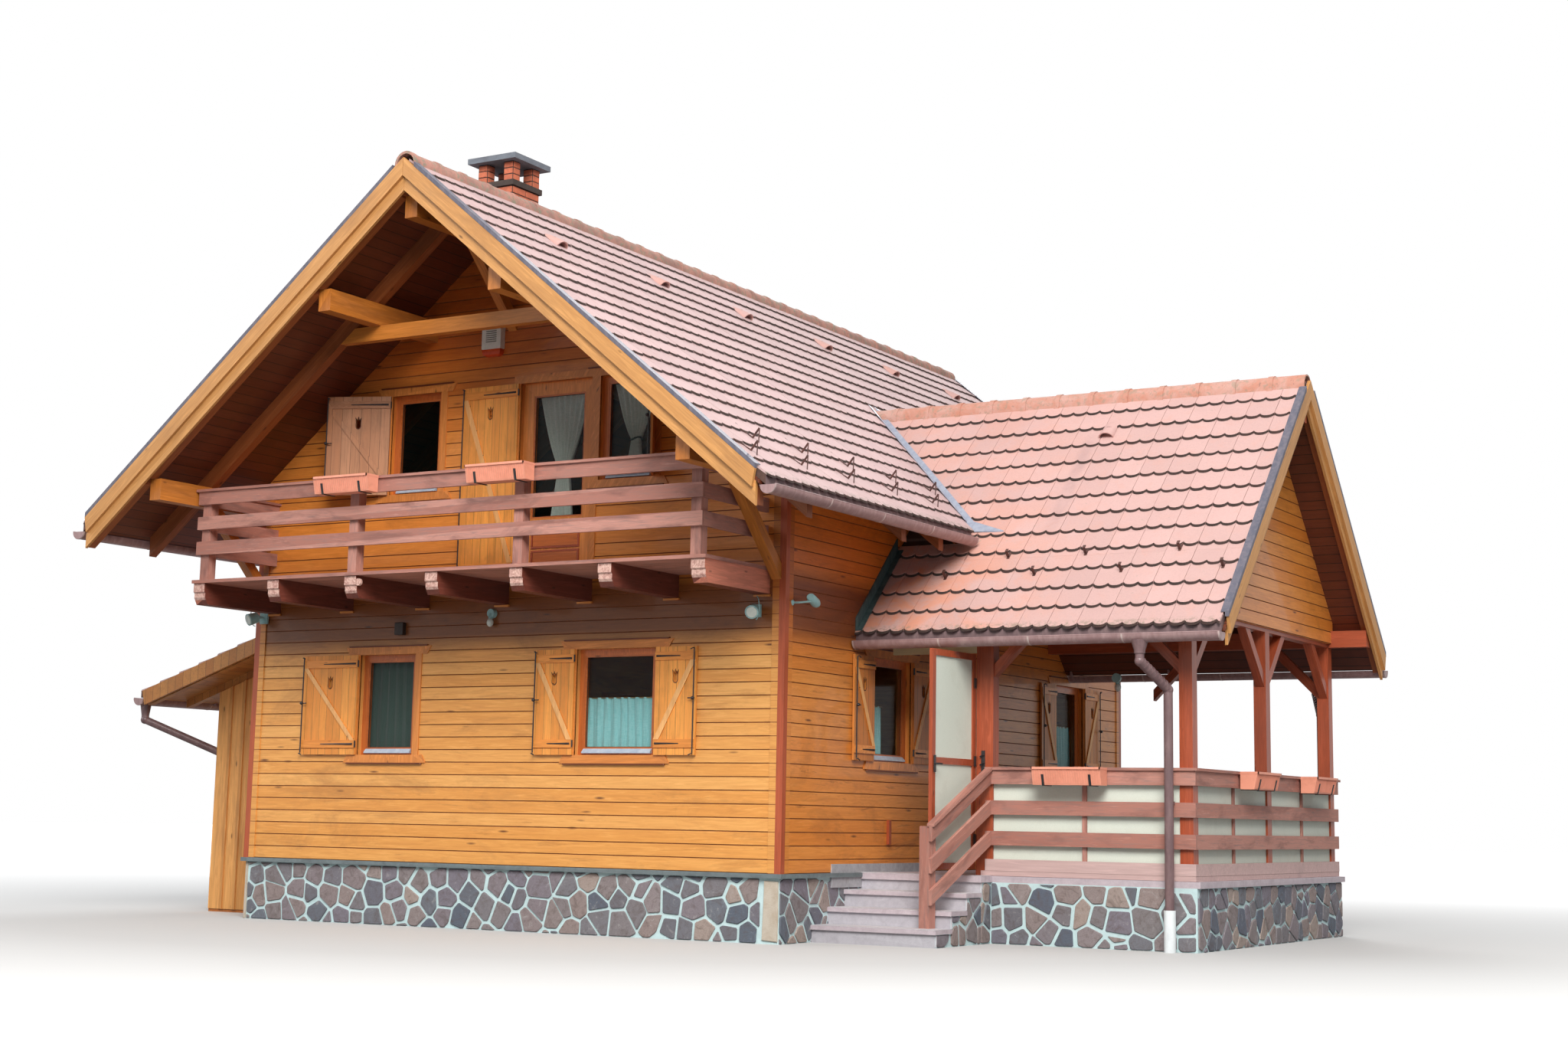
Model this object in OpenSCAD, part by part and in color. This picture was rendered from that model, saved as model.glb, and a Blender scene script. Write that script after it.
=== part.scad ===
// Alpine chalet: a timber house on a rubble plinth with a gabled porch, a balcony and a lean-to.
// X runs along the front gable, Y runs from the front to the back, Z is up.
// The origin is on the ground, under the middle of the main house.

/* [House] */
// Width of the main house over its walls
house_w = 6640; // [6000:20:7400]
// Length of the main house over its walls
house_l = 8300; // [7600:20:9400]
// Height of the rubble plinth
plinth_h = 600; // [480:10:760]
// Thickness of the plinth walls
plinth_t = 340; // [260:10:420]
// Thickness of the footing slab inside the plinth
footing_t = 150; // [100:10:200]
// Thickness of the ledge stones on the plinth
ledge_t = 40; // [30:5:60]
// How far the ledge stones stand out
ledge_out = 45; // [25:5:70]
// Thickness of the timber walls
wall_t = 160; // [120:10:220]
// Height from the ledge to the upper floor
storey_h = 2860; // [2600:20:3100]
// Thickness of each floor
floor_t = 180; // [120:10:220]
// Width of the corner boards on each face
corner_w = 120; // [90:5:160]
// Thickness of the corner boards
corner_t = 24; // [16:2:36]

/* [Main roof] */
// Pitch of the main roof
roof_pitch = 39.2; // [36:0.2:42]
// Reach of the eaves past the side walls
eave_over = 840; // [700:10:950]
// Height of the tile edge at the eaves over the upper floor
eave_rise = 580; // [490:10:700]
// Reach of the roof past the gable walls
verge_over = 1820; // [1500:20:2000]
// Thickness of the lapped tile courses
tile_t = 70; // [55:5:85]
// Step at the lower edge of each course
tile_step = 20; // [12:2:30]
// Visible length of each course
tile_gauge = 290; // [260:2:330]
// Thickness of the roof boarding
board_t = 25; // [18:1:34]
// Depth of the rafters
rafter_d = 160; // [120:5:190]
// Width of the rafters
rafter_w = 100; // [70:5:140]
// Distance between the middles of the rafters
rafter_gap = 880; // [700:10:1000]
// Width of the purlins
purlin_w = 150; // [110:5:180]
// Height of the purlins
purlin_h = 220; // [160:5:260]
// Place of the middle purlins from the ridge
mid_purlin_x = 1060; // [900:20:1300]
// Height of the collar beam
collar_h = 150; // [110:5:180]
// Depth of the barge boards
barge_d = 140; // [110:5:170]
// Thickness of the barge boards
barge_t = 32; // [22:2:45]

/* [Porch] */
// Distance of the porch from the front gable
porch_front = 1780; // [1600:20:2000]
// Length of the porch along the side wall
porch_l = 4500; // [4000:20:5000]
// Reach of the porch from the side wall
porch_w = 3400; // [3000:20:3900]
// Pitch of the porch roof
porch_pitch = 45.8; // [43:0.2:47]
// Height of the tile edge at the porch eaves
porch_eave_h = 3000; // [2960:10:3060]
// Reach of the porch eaves past the plinth
porch_eave_over = 390; // [340:10:460]
// Reach of the porch roof past its end
porch_verge_over = 420; // [300:10:520]
// Depth of the porch rafters
porch_rafter_d = 60; // [50:5:80]
// Thickness of the porch floor
porch_floor_t = 60; // [50:5:90]
// Width of the porch posts
post_w = 130; // [100:5:150]
// Distance of the posts from the edge of the porch plinth
post_inset = 50; // [30:5:80]
// Width of the porch purlins
porch_purlin_w = 130; // [100:5:150]
// Height of the porch purlins
porch_purlin_h = 180; // [140:5:200]

/* [Steps] */
// Width of the steps
step_w = 1310; // [1200:10:1500]
// Depth of each tread
tread_d = 319; // [280:1:340]
// Depth of the top step before the porch
landing_d = 224; // [180:2:300]
// Thickness of the tread slabs
tread_t = 40; // [30:2:50]
// Reach of each tread past its riser
nosing = 25; // [10:1:35]

/* [Balcony] */
// Reach of the balcony joists
joist_reach = 1160; // [1000:10:1300]
// Width of the balcony joists
joist_w = 155; // [120:5:180]
// Height of the balcony joists
joist_h = 220; // [180:5:240]
// Distance between the middles of the joists
joist_gap = 1028; // [980:2:1040]
// Thickness of the balcony deck
deck_t = 34; // [26:2:44]
// Width of the balcony posts
balcony_post_w = 110; // [90:5:130]
// Height of the balcony railing over the deck
railing_h = 950; // [880:10:1040]

/* [Rails] */
// Height of each rail board
rail_h = 136; // [110:2:150]
// Thickness of each rail board
rail_t = 36; // [26:2:50]
// Height of the porch railing over the floor
porch_railing_h = 1040; // [980:10:1100]
// Thickness of the screen panels
screen_t = 8; // [5:1:14]

/* [Openings] */
// Height of the window sills over the ledge
sill_h = 1092; // [1000:4:1200]
// Height of the ground windows
window_h = 1040; // [900:10:1120]
// Width of the left front window
window_a_w = 740; // [640:10:820]
// Width of the right front window
window_b_w = 940; // [800:10:1000]
// Width of the windows in the long walls
window_c_w = 840; // [760:10:900]
// Height of the sills over the upper floor
upper_sill_h = 960; // [880:10:1000]
// Height of the upper windows
upper_window_h = 1060; // [900:10:1080]
// Width of the upper windows
upper_window_w = 660; // [560:10:720]
// Width of the balcony door
balcony_door_w = 900; // [780:10:940]
// Height of the balcony door
balcony_door_h = 2020; // [1900:10:2060]
// Width of the entrance door
entrance_w = 920; // [800:10:1000]
// Height of the entrance door
entrance_h = 2060; // [1950:10:2200]
// Width of the window frame members
sash_w = 62; // [45:1:80]
// Thickness of the window frames
sash_t = 66; // [50:2:90]
// Thickness of the panes
glass_t = 16; // [8:2:24]
// Width of the boards around the openings
trim_w = 82; // [60:2:100]
// Thickness of the boards around the openings
trim_t = 24; // [16:2:36]
// Thickness of the shutters
shutter_t = 34; // [24:2:44]

/* [Screen door] */
// Width of the screen door
leaf_w = 880; // [800:10:890]
// Height of the screen door
leaf_h = 2080; // [2000:10:2110]
// Thickness of the screen door
leaf_t = 38; // [28:2:46]
// Width of the members of the screen door
leaf_rail = 62; // [45:1:80]
// Angle at which the screen door stands open
leaf_open = 88; // [80:1:90]
// Gap around the screen door
leaf_gap = 14; // [8:1:20]

/* [Lean-to] */
// Reach of the lean-to from the side wall
lean_w = 1400; // [1200:20:1600]
// Distance of the lean-to from the front gable
lean_front = 900; // [700:20:1100]
// Length of the lean-to
lean_l = 4200; // [3600:20:5000]
// Pitch of the lean-to roof
lean_pitch = 18.4; // [16:0.2:21]
// Height of the lean-to roof at the side wall
lean_h = 3130; // [3080:10:3200]
// Reach of the lean-to eaves
lean_eave_over = 620; // [500:20:720]
// Reach of the lean-to roof past its gable walls
lean_verge_over = 620; // [400:20:700]
// Thickness of the lean-to walls
lean_wall_t = 90; // [60:5:130]

/* [Chimney] */
// Width of the chimney stack
stack_w = 460; // [380:10:560]
// Width of the chimney cap
cap_w = 630; // [560:10:700]
// Height of the top of the chimney over the ridge
chimney_rise = 587; // [480:1:900]
// Height of the open part under the cap
lantern_h = 210; // [150:10:260]
// Distance of the chimney from the front gable
chimney_y = 400; // [395:5:440]
// Distance of the chimney from the ridge
chimney_x = 450; // [400:5:520]

/* [Gutters] */
// Outer radius of the main gutters
gutter_r = 78; // [60:2:90]
// Thickness of the gutter metal
gutter_t = 6; // [4:1:8]
// Radius of the downpipes
pipe_r = 43; // [35:1:50]
// Radius of the standpipes at the ground
standpipe_r = 55; // [48:1:62]

/* [Flower boxes] */
// Length of each flower box
box_l = 700; // [600:10:800]
// Width of each flower box at its rim
box_w = 180; // [150:5:210]
// Height of each flower box
box_h = 170; // [140:5:190]
// Thickness of the flower box walls
box_t = 10; // [6:1:14]

/* [Hidden] */
$fn = 48;
// Small overlap that lets one shape cut right through another
eps = 2;
// Gap between two faces that seat on each other
seat = 0.2;
// Gap left at a mitre between two boards
mitre = 2;
half_w = house_w / 2;
ledge_z = plinth_h + ledge_t;
upper_z = ledge_z + storey_h;
roof_m = tan(roof_pitch);
eave_x = half_w + eave_over;
eave_h = upper_z + eave_rise;
ridge_z = eave_h + eave_x * roof_m;
// Depths below the tile plane, square to the slope
board_d = tile_t;
rafter_top_d = tile_t + board_t;
rafter_low_d = rafter_top_d + rafter_d;
board_eave_x = eave_x - 45;
rafter_eave_x = eave_x - 80;
verge_y0 = -verge_over;
verge_y1 = house_l + verge_over;
// Height of the main roof at x, at depth d below the tile plane
function roof_z(x, d) = ridge_z - roof_m * abs(x) - d / cos(roof_pitch);
porch_y1 = porch_front + porch_l;
porch_mid = porch_front + porch_l / 2;
porch_x = half_w + porch_w;
porch_m = tan(porch_pitch);
porch_eave_y = porch_l / 2 + porch_eave_over;
porch_ridge_z = porch_eave_h + porch_eave_y * porch_m;
porch_verge_x = porch_x + porch_verge_over;
porch_rafter_low_d = rafter_top_d + porch_rafter_d;
// Height of the porch roof at distance u from its ridge, at depth d
function porch_z(u, d) = porch_ridge_z - porch_m * abs(u) - d / cos(porch_pitch);
purlin_xs = [-(half_w - wall_t / 2), -mid_purlin_x, 0, mid_purlin_x, half_w - wall_t / 2];
// A purlin's top is level with the rafters' undersides over its middle, or a little below the ridge
function purlin_top(x) = x == 0 ? roof_z(purlin_w / 2, rafter_low_d) + 25 : roof_z(x, rafter_low_d);
side_wall_top = purlin_top(half_w - wall_t / 2) - purlin_h;
joist_top = upper_z - deck_t;
joist_xs = [for (i = [-3:3]) i * joist_gap];
post_face = porch_front + post_inset;
stair_post_x = half_w + step_w - post_w;
porch_purlin_u = porch_l / 2 - post_inset - post_w / 2;
porch_purlin_top = porch_z(porch_purlin_u, porch_rafter_low_d);
post_top = porch_purlin_top - porch_purlin_h;
step_front = porch_front - landing_d - 3 * tread_d;
riser = ledge_z / 4;
jamb_w = 50;
hinge_x = stair_post_x - jamb_w - 3;
hinge_y = post_face + 2;
leaf_z = ledge_z + 60;
lean_m = tan(lean_pitch);
lean_x = half_w + lean_w;
lean_eave_x = lean_x + lean_eave_over;
function lean_z(x, d) = lean_h - lean_m * (x - half_w) - d / cos(lean_pitch);

// Outlines are drawn flat: across Y as x and z, or across X as y and z
module along_y(y0, y1) translate([0, y1, 0]) rotate([90, 0, 0]) linear_extrude(y1 - y0) children();
module along_x(x0, x1) translate([x0, 0, 0]) rotate([90, 0, 90]) linear_extrude(x1 - x0) children();
module block(x0, x1, y0, y1, z0, z1) translate([x0, y0, z0]) cube([x1 - x0, y1 - y0, z1 - z0]);
module rect(a0, a1, b0, b1) translate([a0, b0]) square([a1 - a0, b1 - b0]);
module both_sides() {
    children();
    mirror([1, 0, 0]) children();
}
module from_front() translate([0, -house_l / 2, 0]) children();

// A layer of the right-hand main slope between two depths
module main_layer(d0, d1, x_end, x_start = mitre) polygon([
    [x_start, roof_z(x_start, d0)], [x_end, roof_z(x_end, d0)],
    [x_end, roof_z(x_end, d1)], [x_start, roof_z(x_start, d1)]
]);
// Lapped courses: each one starts proud at its lower edge and runs under the next
module main_courses() {
    n = round((eave_x - mitre) / cos(roof_pitch) / tile_gauge);
    run = (eave_x - mitre) / n;
    tops = [for (i = [0:n - 1]) each [
        [eave_x - i * run, roof_z(eave_x - i * run, 0)],
        [eave_x - (i + 1) * run, roof_z(eave_x - (i + 1) * run, tile_step)]
    ]];
    polygon(concat(tops, [[mitre, roof_z(mitre, tile_t)], [eave_x, roof_z(eave_x, tile_t)]]));
}
module porch_layer(d0, d1, u_end) polygon([
    [mitre, porch_z(mitre, d0)], [u_end, porch_z(u_end, d0)],
    [u_end, porch_z(u_end, d1)], [mitre, porch_z(mitre, d1)]
]);
module porch_courses() {
    n = round((porch_eave_y - mitre) / cos(porch_pitch) / tile_gauge);
    run = (porch_eave_y - mitre) / n;
    tops = [for (i = [0:n - 1]) each [
        [porch_eave_y - i * run, porch_z(porch_eave_y - i * run, 0)],
        [porch_eave_y - (i + 1) * run, porch_z(porch_eave_y - (i + 1) * run, tile_step)]
    ]];
    polygon(concat(tops, [[mitre, porch_z(mitre, tile_t)], [porch_eave_y, porch_z(porch_eave_y, tile_t)]]));
}
// Both slopes of the porch, from x0 to x1
module porch_slopes(x0, x1) {
    translate([0, porch_mid, 0]) along_x(x0, x1) children();
    translate([0, porch_mid, 0]) mirror([0, 1, 0]) along_x(x0, x1) children();
}
// The space under the porch roof, lifted square to its slopes
module porch_prism(lift) translate([0, porch_mid, 0]) along_x(0, porch_verge_x + 100) polygon([
    [0, porch_z(0, -lift)], [porch_eave_y + 900, porch_z(porch_eave_y + 900, -lift)],
    [-porch_eave_y - 900, porch_z(porch_eave_y + 900, -lift)]
]);
// What the main roof and the house keep clear of the porch roof
module main_body_cut() along_y(porch_front - 1200, porch_y1 + 1200) polygon([
    [0, roof_z(0, board_d)], [eave_x + 4, roof_z(eave_x + 4, board_d)],
    [eave_x + 4, roof_z(eave_x + 4, rafter_low_d + 4)], [half_w, roof_z(half_w, rafter_low_d + 4)],
    [half_w, 0], [0, 0]
]);

module main_plinth() color("dimgray") from_front() difference() {
    block(-half_w, half_w, 0, house_l, 0, plinth_h);
    block(-half_w + plinth_t, half_w - plinth_t, plinth_t, house_l - plinth_t, footing_t, plinth_h + eps);
    stack_block(0, footing_t, plinth_h + eps);
}
module plinth_ledge() color("lightgray") from_front() difference() {
    block(-half_w - ledge_out, half_w + ledge_out, -ledge_out, house_l + ledge_out, plinth_h, ledge_z);
    block(-half_w + wall_t, half_w - wall_t, wall_t, house_l - wall_t, plinth_h - eps, ledge_z + eps);
    block(half_w, half_w + 2 * ledge_out, porch_front - landing_d - nosing, porch_y1 + floor_over,
        plinth_h - eps, ledge_z + eps);
    block(-half_w - 2 * ledge_out, -half_w, lean_front, lean_front + lean_l, plinth_h - eps, ledge_z + eps);
}
module floor_slab(z0, z1) block(-half_w + wall_t, half_w - wall_t, wall_t, house_l - wall_t, z0, z1);
module floors() color("burlywood") from_front() {
    difference() {
        union() {
            floor_slab(plinth_h, plinth_h + floor_t / 2);
            floor_slab(upper_z - floor_t, upper_z);
        }
        stack_block(0, 0, upper_z + eps);
    }
}

// Openings in the front and back walls as [left edge, width, height of the foot, height]
ground_foot = ledge_z + sill_h;
upper_foot = upper_z + upper_sill_h;
front_openings = [[-1835, window_a_w, ground_foot, window_h], [955, window_b_w, ground_foot, window_h]];
back_openings = [[-1895, window_b_w, ground_foot, window_h], [955, window_b_w, ground_foot, window_h]];
balcony_door_x = 140;
upper_openings = [
    [-1560, upper_window_w, upper_foot, upper_window_h],
    [balcony_door_x + balcony_door_w + 100, upper_window_w, upper_foot, upper_window_h]
];
balcony_opening = [balcony_door_x, balcony_door_w, upper_z, balcony_door_h];
back_upper_openings = [[-1560, upper_window_w, upper_foot, upper_window_h],
    [1560 - upper_window_w, upper_window_w, upper_foot, upper_window_h]];
// Openings in the long walls, measured along the wall from the front gable
right_openings = [[1750, window_c_w, ground_foot, window_h], [6280, window_c_w, ground_foot, window_h]];
left_openings = [[6280, window_c_w, ground_foot, window_h]];
entrance_opening = [3200, entrance_w, plinth_h + floor_t / 2, entrance_h];
module holes(list) for (o = list) rect(o[0], o[0] + o[1], o[2], o[2] + o[3]);

module front_wall() along_y(0, wall_t) difference() {
    rect(-half_w, half_w, ledge_z, upper_z);
    holes(front_openings);
}
module back_wall() along_y(house_l - wall_t, house_l) difference() {
    rect(-half_w, half_w, ledge_z, upper_z);
    holes(back_openings);
}
module left_wall() along_x(-half_w, -half_w + wall_t) difference() {
    rect(wall_t, house_l - wall_t, ledge_z, side_wall_top);
    holes(left_openings);
}
module right_wall() along_x(half_w - wall_t, half_w) difference() {
    rect(wall_t, house_l - wall_t, ledge_z, side_wall_top);
    holes(concat(right_openings, [entrance_opening]));
}
module end_walls() color("orange") from_front() {
    front_wall();
    back_wall();
}
module side_walls() color("orange") from_front() {
    left_wall();
    right_wall();
}
module gable_outline() difference() {
    polygon([
        [-half_w, upper_z], [half_w, upper_z], [half_w, roof_z(half_w, rafter_top_d + seat)],
        [0, roof_z(0, rafter_top_d + seat)], [-half_w, roof_z(half_w, rafter_top_d + seat)]
    ]);
    purlin_sections();
}
module gable_walls() color("darkorange") from_front() {
    along_y(0, wall_t) difference() {
        gable_outline();
        holes(concat(upper_openings, [balcony_opening]));
    }
    along_y(house_l - wall_t, house_l) difference() {
        gable_outline();
        holes(back_upper_openings);
    }
}
module corner_boards() color("sienna") from_front() both_sides() for (s = [0, 1])
    translate([0, s * house_l, ledge_z]) mirror([0, s, 0]) linear_extrude(side_wall_top - ledge_z - seat)
        translate([half_w, 0]) polygon([
            [corner_t, -corner_t], [corner_t, corner_w], [0, corner_w], [0, 0],
            [-corner_w, 0], [-corner_w, -corner_t]
        ]);

// A window frame that fills an opening, and the pane in it
module pane_outline(o) rect(o[0] + sash_w, o[0] + o[1] - sash_w, o[2] + sash_w, o[2] + o[3] - sash_w);
module frame_outline(o) difference() {
    holes([o]);
    pane_outline(o);
}
sash_back = wall_t / 2 - sash_t / 2;
module window_frames() color("chocolate") from_front() {
    for (o = concat(front_openings, upper_openings)) along_y(sash_back, sash_back + sash_t) frame_outline(o);
    for (o = concat(back_openings, back_upper_openings))
        along_y(house_l - sash_back - sash_t, house_l - sash_back) frame_outline(o);
    for (o = right_openings) along_x(half_w - sash_back - sash_t, half_w - sash_back) frame_outline(o);
    for (o = left_openings) along_x(-half_w + sash_back, -half_w + sash_back + sash_t) frame_outline(o);
}
glass_back = wall_t / 2 - glass_t / 2;
module window_glass() color("lightblue") from_front() {
    for (o = concat(front_openings, upper_openings)) along_y(glass_back, glass_back + glass_t) pane_outline(o);
    for (o = concat(back_openings, back_upper_openings))
        along_y(house_l - glass_back - glass_t, house_l - glass_back) pane_outline(o);
    for (o = right_openings) along_x(half_w - glass_back - glass_t, half_w - glass_back) pane_outline(o);
    for (o = left_openings) along_x(-half_w + glass_back, -half_w + glass_back + glass_t) pane_outline(o);
    balcony_pane();
}
// Boards around an opening: the head flares upwards and the sill flares downwards
head_over = 70;
sill_over = 50;
flare = 48;
module flared_board(o, z0, z1, low, high) polygon([
    [o[0] - trim_w - low, z0], [o[0] + o[1] + trim_w + low, z0],
    [o[0] + o[1] + trim_w + high, z1], [o[0] - trim_w - high, z1]
]);
module trim_outline(o) difference() {
    union() {
        rect(o[0] - trim_w, o[0] + o[1] + trim_w, o[2] - eps, o[2] + o[3] + eps);
        flared_board(o, o[2] + o[3], o[2] + o[3] + trim_w, head_over, head_over + flare);
        flared_board(o, o[2] - trim_w, o[2], sill_over + flare, sill_over);
    }
    holes([o]);
}
module door_trim_outline(o) difference() {
    rect(o[0] - trim_w, o[0] + o[1] + trim_w, o[2], o[2] + o[3] + trim_w);
    translate([0, -eps]) rect(o[0], o[0] + o[1], o[2], o[2] + o[3] + eps);
}
module window_trims() color("peru") from_front() {
    for (o = front_openings) along_y(-trim_t, 0) trim_outline(o);
    along_y(-trim_t, 0) trim_outline(upper_openings[0]);
    along_y(-trim_t, 0) difference() {
        trim_outline(upper_openings[1]);
        rect(balcony_door_x, balcony_door_x + balcony_door_w + trim_w, upper_z, ridge_z);
    }
    along_y(-trim_t, 0) door_trim_outline(balcony_opening);
    for (o = concat(back_openings, back_upper_openings)) along_y(house_l, house_l + trim_t) trim_outline(o);
    for (o = right_openings) along_x(half_w, half_w + trim_t) trim_outline(o);
    along_x(half_w, half_w + trim_t) door_trim_outline(entrance_opening);
    for (o = left_openings) along_x(-half_w - trim_t, -half_w) trim_outline(o);
}

// A shutter drawn flat: boards, a batten at the top and the foot, a brace and a flower-shaped hole
batten_h = 80;
batten_foot = 70;
batten_head = 50;
shutter_board_t = shutter_t - 12;
module shutter_hole(w, h) translate([w / 2, h - 290]) polygon([
    [0, -56], [16, -50], [26, -32], [25, 8], [31, 60], [13, 34], [0, 66], [-13, 34], [-31, 60],
    [-25, 8], [-26, -32], [-16, -50]
]);
module shutter(w, h) {
    linear_extrude(shutter_board_t) difference() {
        square([w, h]);
        shutter_hole(w, h);
    }
    translate([0, 0, shutter_board_t]) linear_extrude(shutter_t - shutter_board_t) {
        translate([0, batten_foot]) square([w, batten_h]);
        translate([0, h - batten_head - batten_h]) square([w, batten_h]);
        difference() {
            polygon([
                [0, h - batten_head - batten_h], [62, h - batten_head - batten_h],
                [w, batten_foot + batten_h], [w - 62, batten_foot + batten_h]
            ]);
            shutter_hole(w, h);
        }
    }
}
// The mirrored shutter, for the right-hand side of an opening
module right_shutter(w, h) translate([w, 0, 0]) mirror([1, 0, 0]) shutter(w, h);
// Shutters in front of the front wall: x is the left edge
module on_front(x, foot) translate([x, -trim_t, foot]) rotate([90, 0, 0]) children();
module on_side(y, foot) translate([half_w + trim_t, y, foot]) rotate([90, 0, 90]) children();
// Two half-width shutters beside an opening
module front_pair(o) {
    on_front(o[0] - hinge_lap - o[1] / 2, o[2]) shutter(o[1] / 2, o[3]);
    on_front(o[0] + o[1] + hinge_lap, o[2]) right_shutter(o[1] / 2, o[3]);
}
module side_pair(o) {
    on_side(o[0] - hinge_lap - o[1] / 2, o[2]) shutter(o[1] / 2, o[3]);
    on_side(o[0] + o[1] + hinge_lap, o[2]) right_shutter(o[1] / 2, o[3]);
}
hinge_lap = 14;
upper_shutter_swing = 22;
door_side_shutter_swing = 60;
module shutters() color("chocolate") from_front() {
    a = front_openings[0];
    on_front(a[0] - hinge_lap - a[1], a[2]) shutter(a[1], a[3]);
    front_pair(front_openings[1]);
    u = upper_openings[0];
    translate([u[0] - hinge_lap, -trim_t, 0]) rotate([0, 0, upper_shutter_swing])
        translate([-u[1] - 40, 0, u[2]]) rotate([90, 0, 0]) shutter(u[1] + 40, u[3]);
    v = upper_openings[1];
    translate([v[0] + v[1] + hinge_lap, -trim_t, 0]) rotate([0, 0, -door_side_shutter_swing])
        translate([0, 0, v[2]]) rotate([90, 0, 0]) right_shutter(v[1] / 2, v[3]);
    on_front(balcony_door_x - hinge_lap - 700, upper_z + 20) shutter(700, balcony_door_h - 20);
    for (o = right_openings) side_pair(o);
    for (o = left_openings) mirror([1, 0, 0]) side_pair(o);
    for (o = concat(back_openings, back_upper_openings)) translate([0, house_l, 0]) mirror([0, 1, 0])
        front_pair(o);
}
door_stile = 130;
door_panel_h = 620;
lock_z = 1000;
module balcony_door() along_y(sash_back, sash_back + sash_t) difference() {
    holes([balcony_opening]);
    rect(balcony_door_x + door_stile, balcony_door_x + balcony_door_w - door_stile,
        upper_z + door_panel_h, upper_z + balcony_door_h - door_stile);
}
module balcony_pane() along_y(glass_back, glass_back + glass_t)
    rect(balcony_door_x + door_stile, balcony_door_x + balcony_door_w - door_stile,
        upper_z + door_panel_h, upper_z + balcony_door_h - door_stile);
module entrance_door() {
    e = entrance_opening;
    difference() {
        along_x(half_w - sash_back - sash_t, half_w - sash_back) holes([e]);
        along_x(half_w - sash_back - 14, half_w) {
            rect(e[0] + door_stile, e[0] + e[1] - door_stile, e[2] + 180, e[2] + lock_z);
            rect(e[0] + door_stile, e[0] + e[1] - door_stile, e[2] + lock_z + door_stile, e[2] + e[3] - door_stile);
        }
    }
    translate([half_w - sash_back, e[0] + e[1] - 70, e[2] + lock_z]) rotate([0, 90, 0])
        cylinder(r = 24, h = 50);
}
module outer_doors() color("saddlebrown") from_front() {
    balcony_door();
    entrance_door();
}

module purlin_sections() for (x = purlin_xs)
    rect(x - purlin_w / 2, x + purlin_w / 2, purlin_top(x) - purlin_h, purlin_top(x));
purlin_reach = verge_over - 120;
module purlins() color("darkorange") from_front() along_y(-purlin_reach, house_l + purlin_reach)
    purlin_sections();
verge_rafter_y = barge_t + rafter_w / 2;
mid_rafter_y = verge_over / 2 - 30;
inner_n = floor((house_l - 2 * wall_t) / rafter_gap);
inner_step = (house_l - 2 * wall_t) / (inner_n + 1);
rafter_ys = concat(
    [-verge_over + verge_rafter_y, -mid_rafter_y],
    [for (i = [1:inner_n]) wall_t + i * inner_step],
    [house_l + mid_rafter_y, house_l + verge_over - verge_rafter_y]
);
module rafters() color("darkorange") from_front() {
    both_sides() for (y = rafter_ys) along_y(y - rafter_w / 2, y + rafter_w / 2) difference() {
        main_layer(rafter_top_d + seat, rafter_low_d, rafter_eave_x);
        purlin_sections();
    }
    for (x = [corner_x - 900, corner_x - 100, porch_verge_x - 110]) porch_slopes(x, x + 80) porch_rafter();
}
module porch_rafter() difference() {
    porch_layer(rafter_top_d + seat, porch_rafter_low_d, porch_board_u - 40);
    rect(porch_purlin_u - porch_purlin_w / 2, porch_purlin_u + porch_purlin_w / 2,
        porch_purlin_top - porch_purlin_h, porch_purlin_top);
    rect(-porch_purlin_w, porch_purlin_w / 2, ridge_purlin_top - porch_purlin_h, ridge_purlin_top);
}
// A knee brace at 45 degrees from the gable wall up to a purlin
module knee(x, top, drop, t) {
    s = t * sqrt(2);
    along_x(x - t / 2, x + t / 2) polygon([[0, top - drop], [-drop, top], [-drop + s, top], [0, top - drop + s]]);
}
brace_t = 105;
brace_drop = 900;
collar_z = purlin_top(mid_purlin_x) - purlin_h;
function rafter_foot_x(z) = (ridge_z - rafter_low_d / cos(roof_pitch) - z) / roof_m;
module gable_braces() {
    for (s = [-1, 1]) translate([0, -corner_t, 0])
        knee(s * (half_w - wall_t / 2), side_wall_top - seat, brace_drop, brace_t);
    knee(0, purlin_top(0) - purlin_h, brace_drop - 90, brace_t);
    along_y(-mid_rafter_y - rafter_w / 2, -mid_rafter_y + rafter_w / 2) polygon([
        [-rafter_foot_x(collar_z), collar_z], [rafter_foot_x(collar_z), collar_z],
        [rafter_foot_x(collar_z - collar_h), collar_z - collar_h],
        [-rafter_foot_x(collar_z - collar_h), collar_z - collar_h]
    ]);
}
module roof_braces() color("darkorange") from_front() {
    gable_braces();
    translate([0, house_l, 0]) mirror([0, 1, 0]) gable_braces();
}
stack_x = -chimney_x;
module stack_block(grow, z0, z1) block(stack_x - stack_w / 2 - grow, stack_x + stack_w / 2 + grow,
    chimney_y - stack_w / 2 - grow, chimney_y + stack_w / 2 + grow, z0, z1);
module roof_boarding() color("sienna") from_front() difference() {
    both_sides() along_y(verge_y0, verge_y1) main_layer(board_d + seat, rafter_top_d, board_eave_x);
    stack_block(0, ridge_z - 1500, ridge_z + 500);
}
valley_gap = 90;
module roof_tiles() color("rosybrown") from_front() difference() {
    both_sides() along_y(verge_y0 + 30, verge_y1 - 30) main_courses();
    stack_block(0, ridge_z - 1500, ridge_z + 500);
    porch_prism(valley_gap);
}
cap_r = 120;
cap_wall = 16;
cap_len = 400;
cap_sink = 75;
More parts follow.
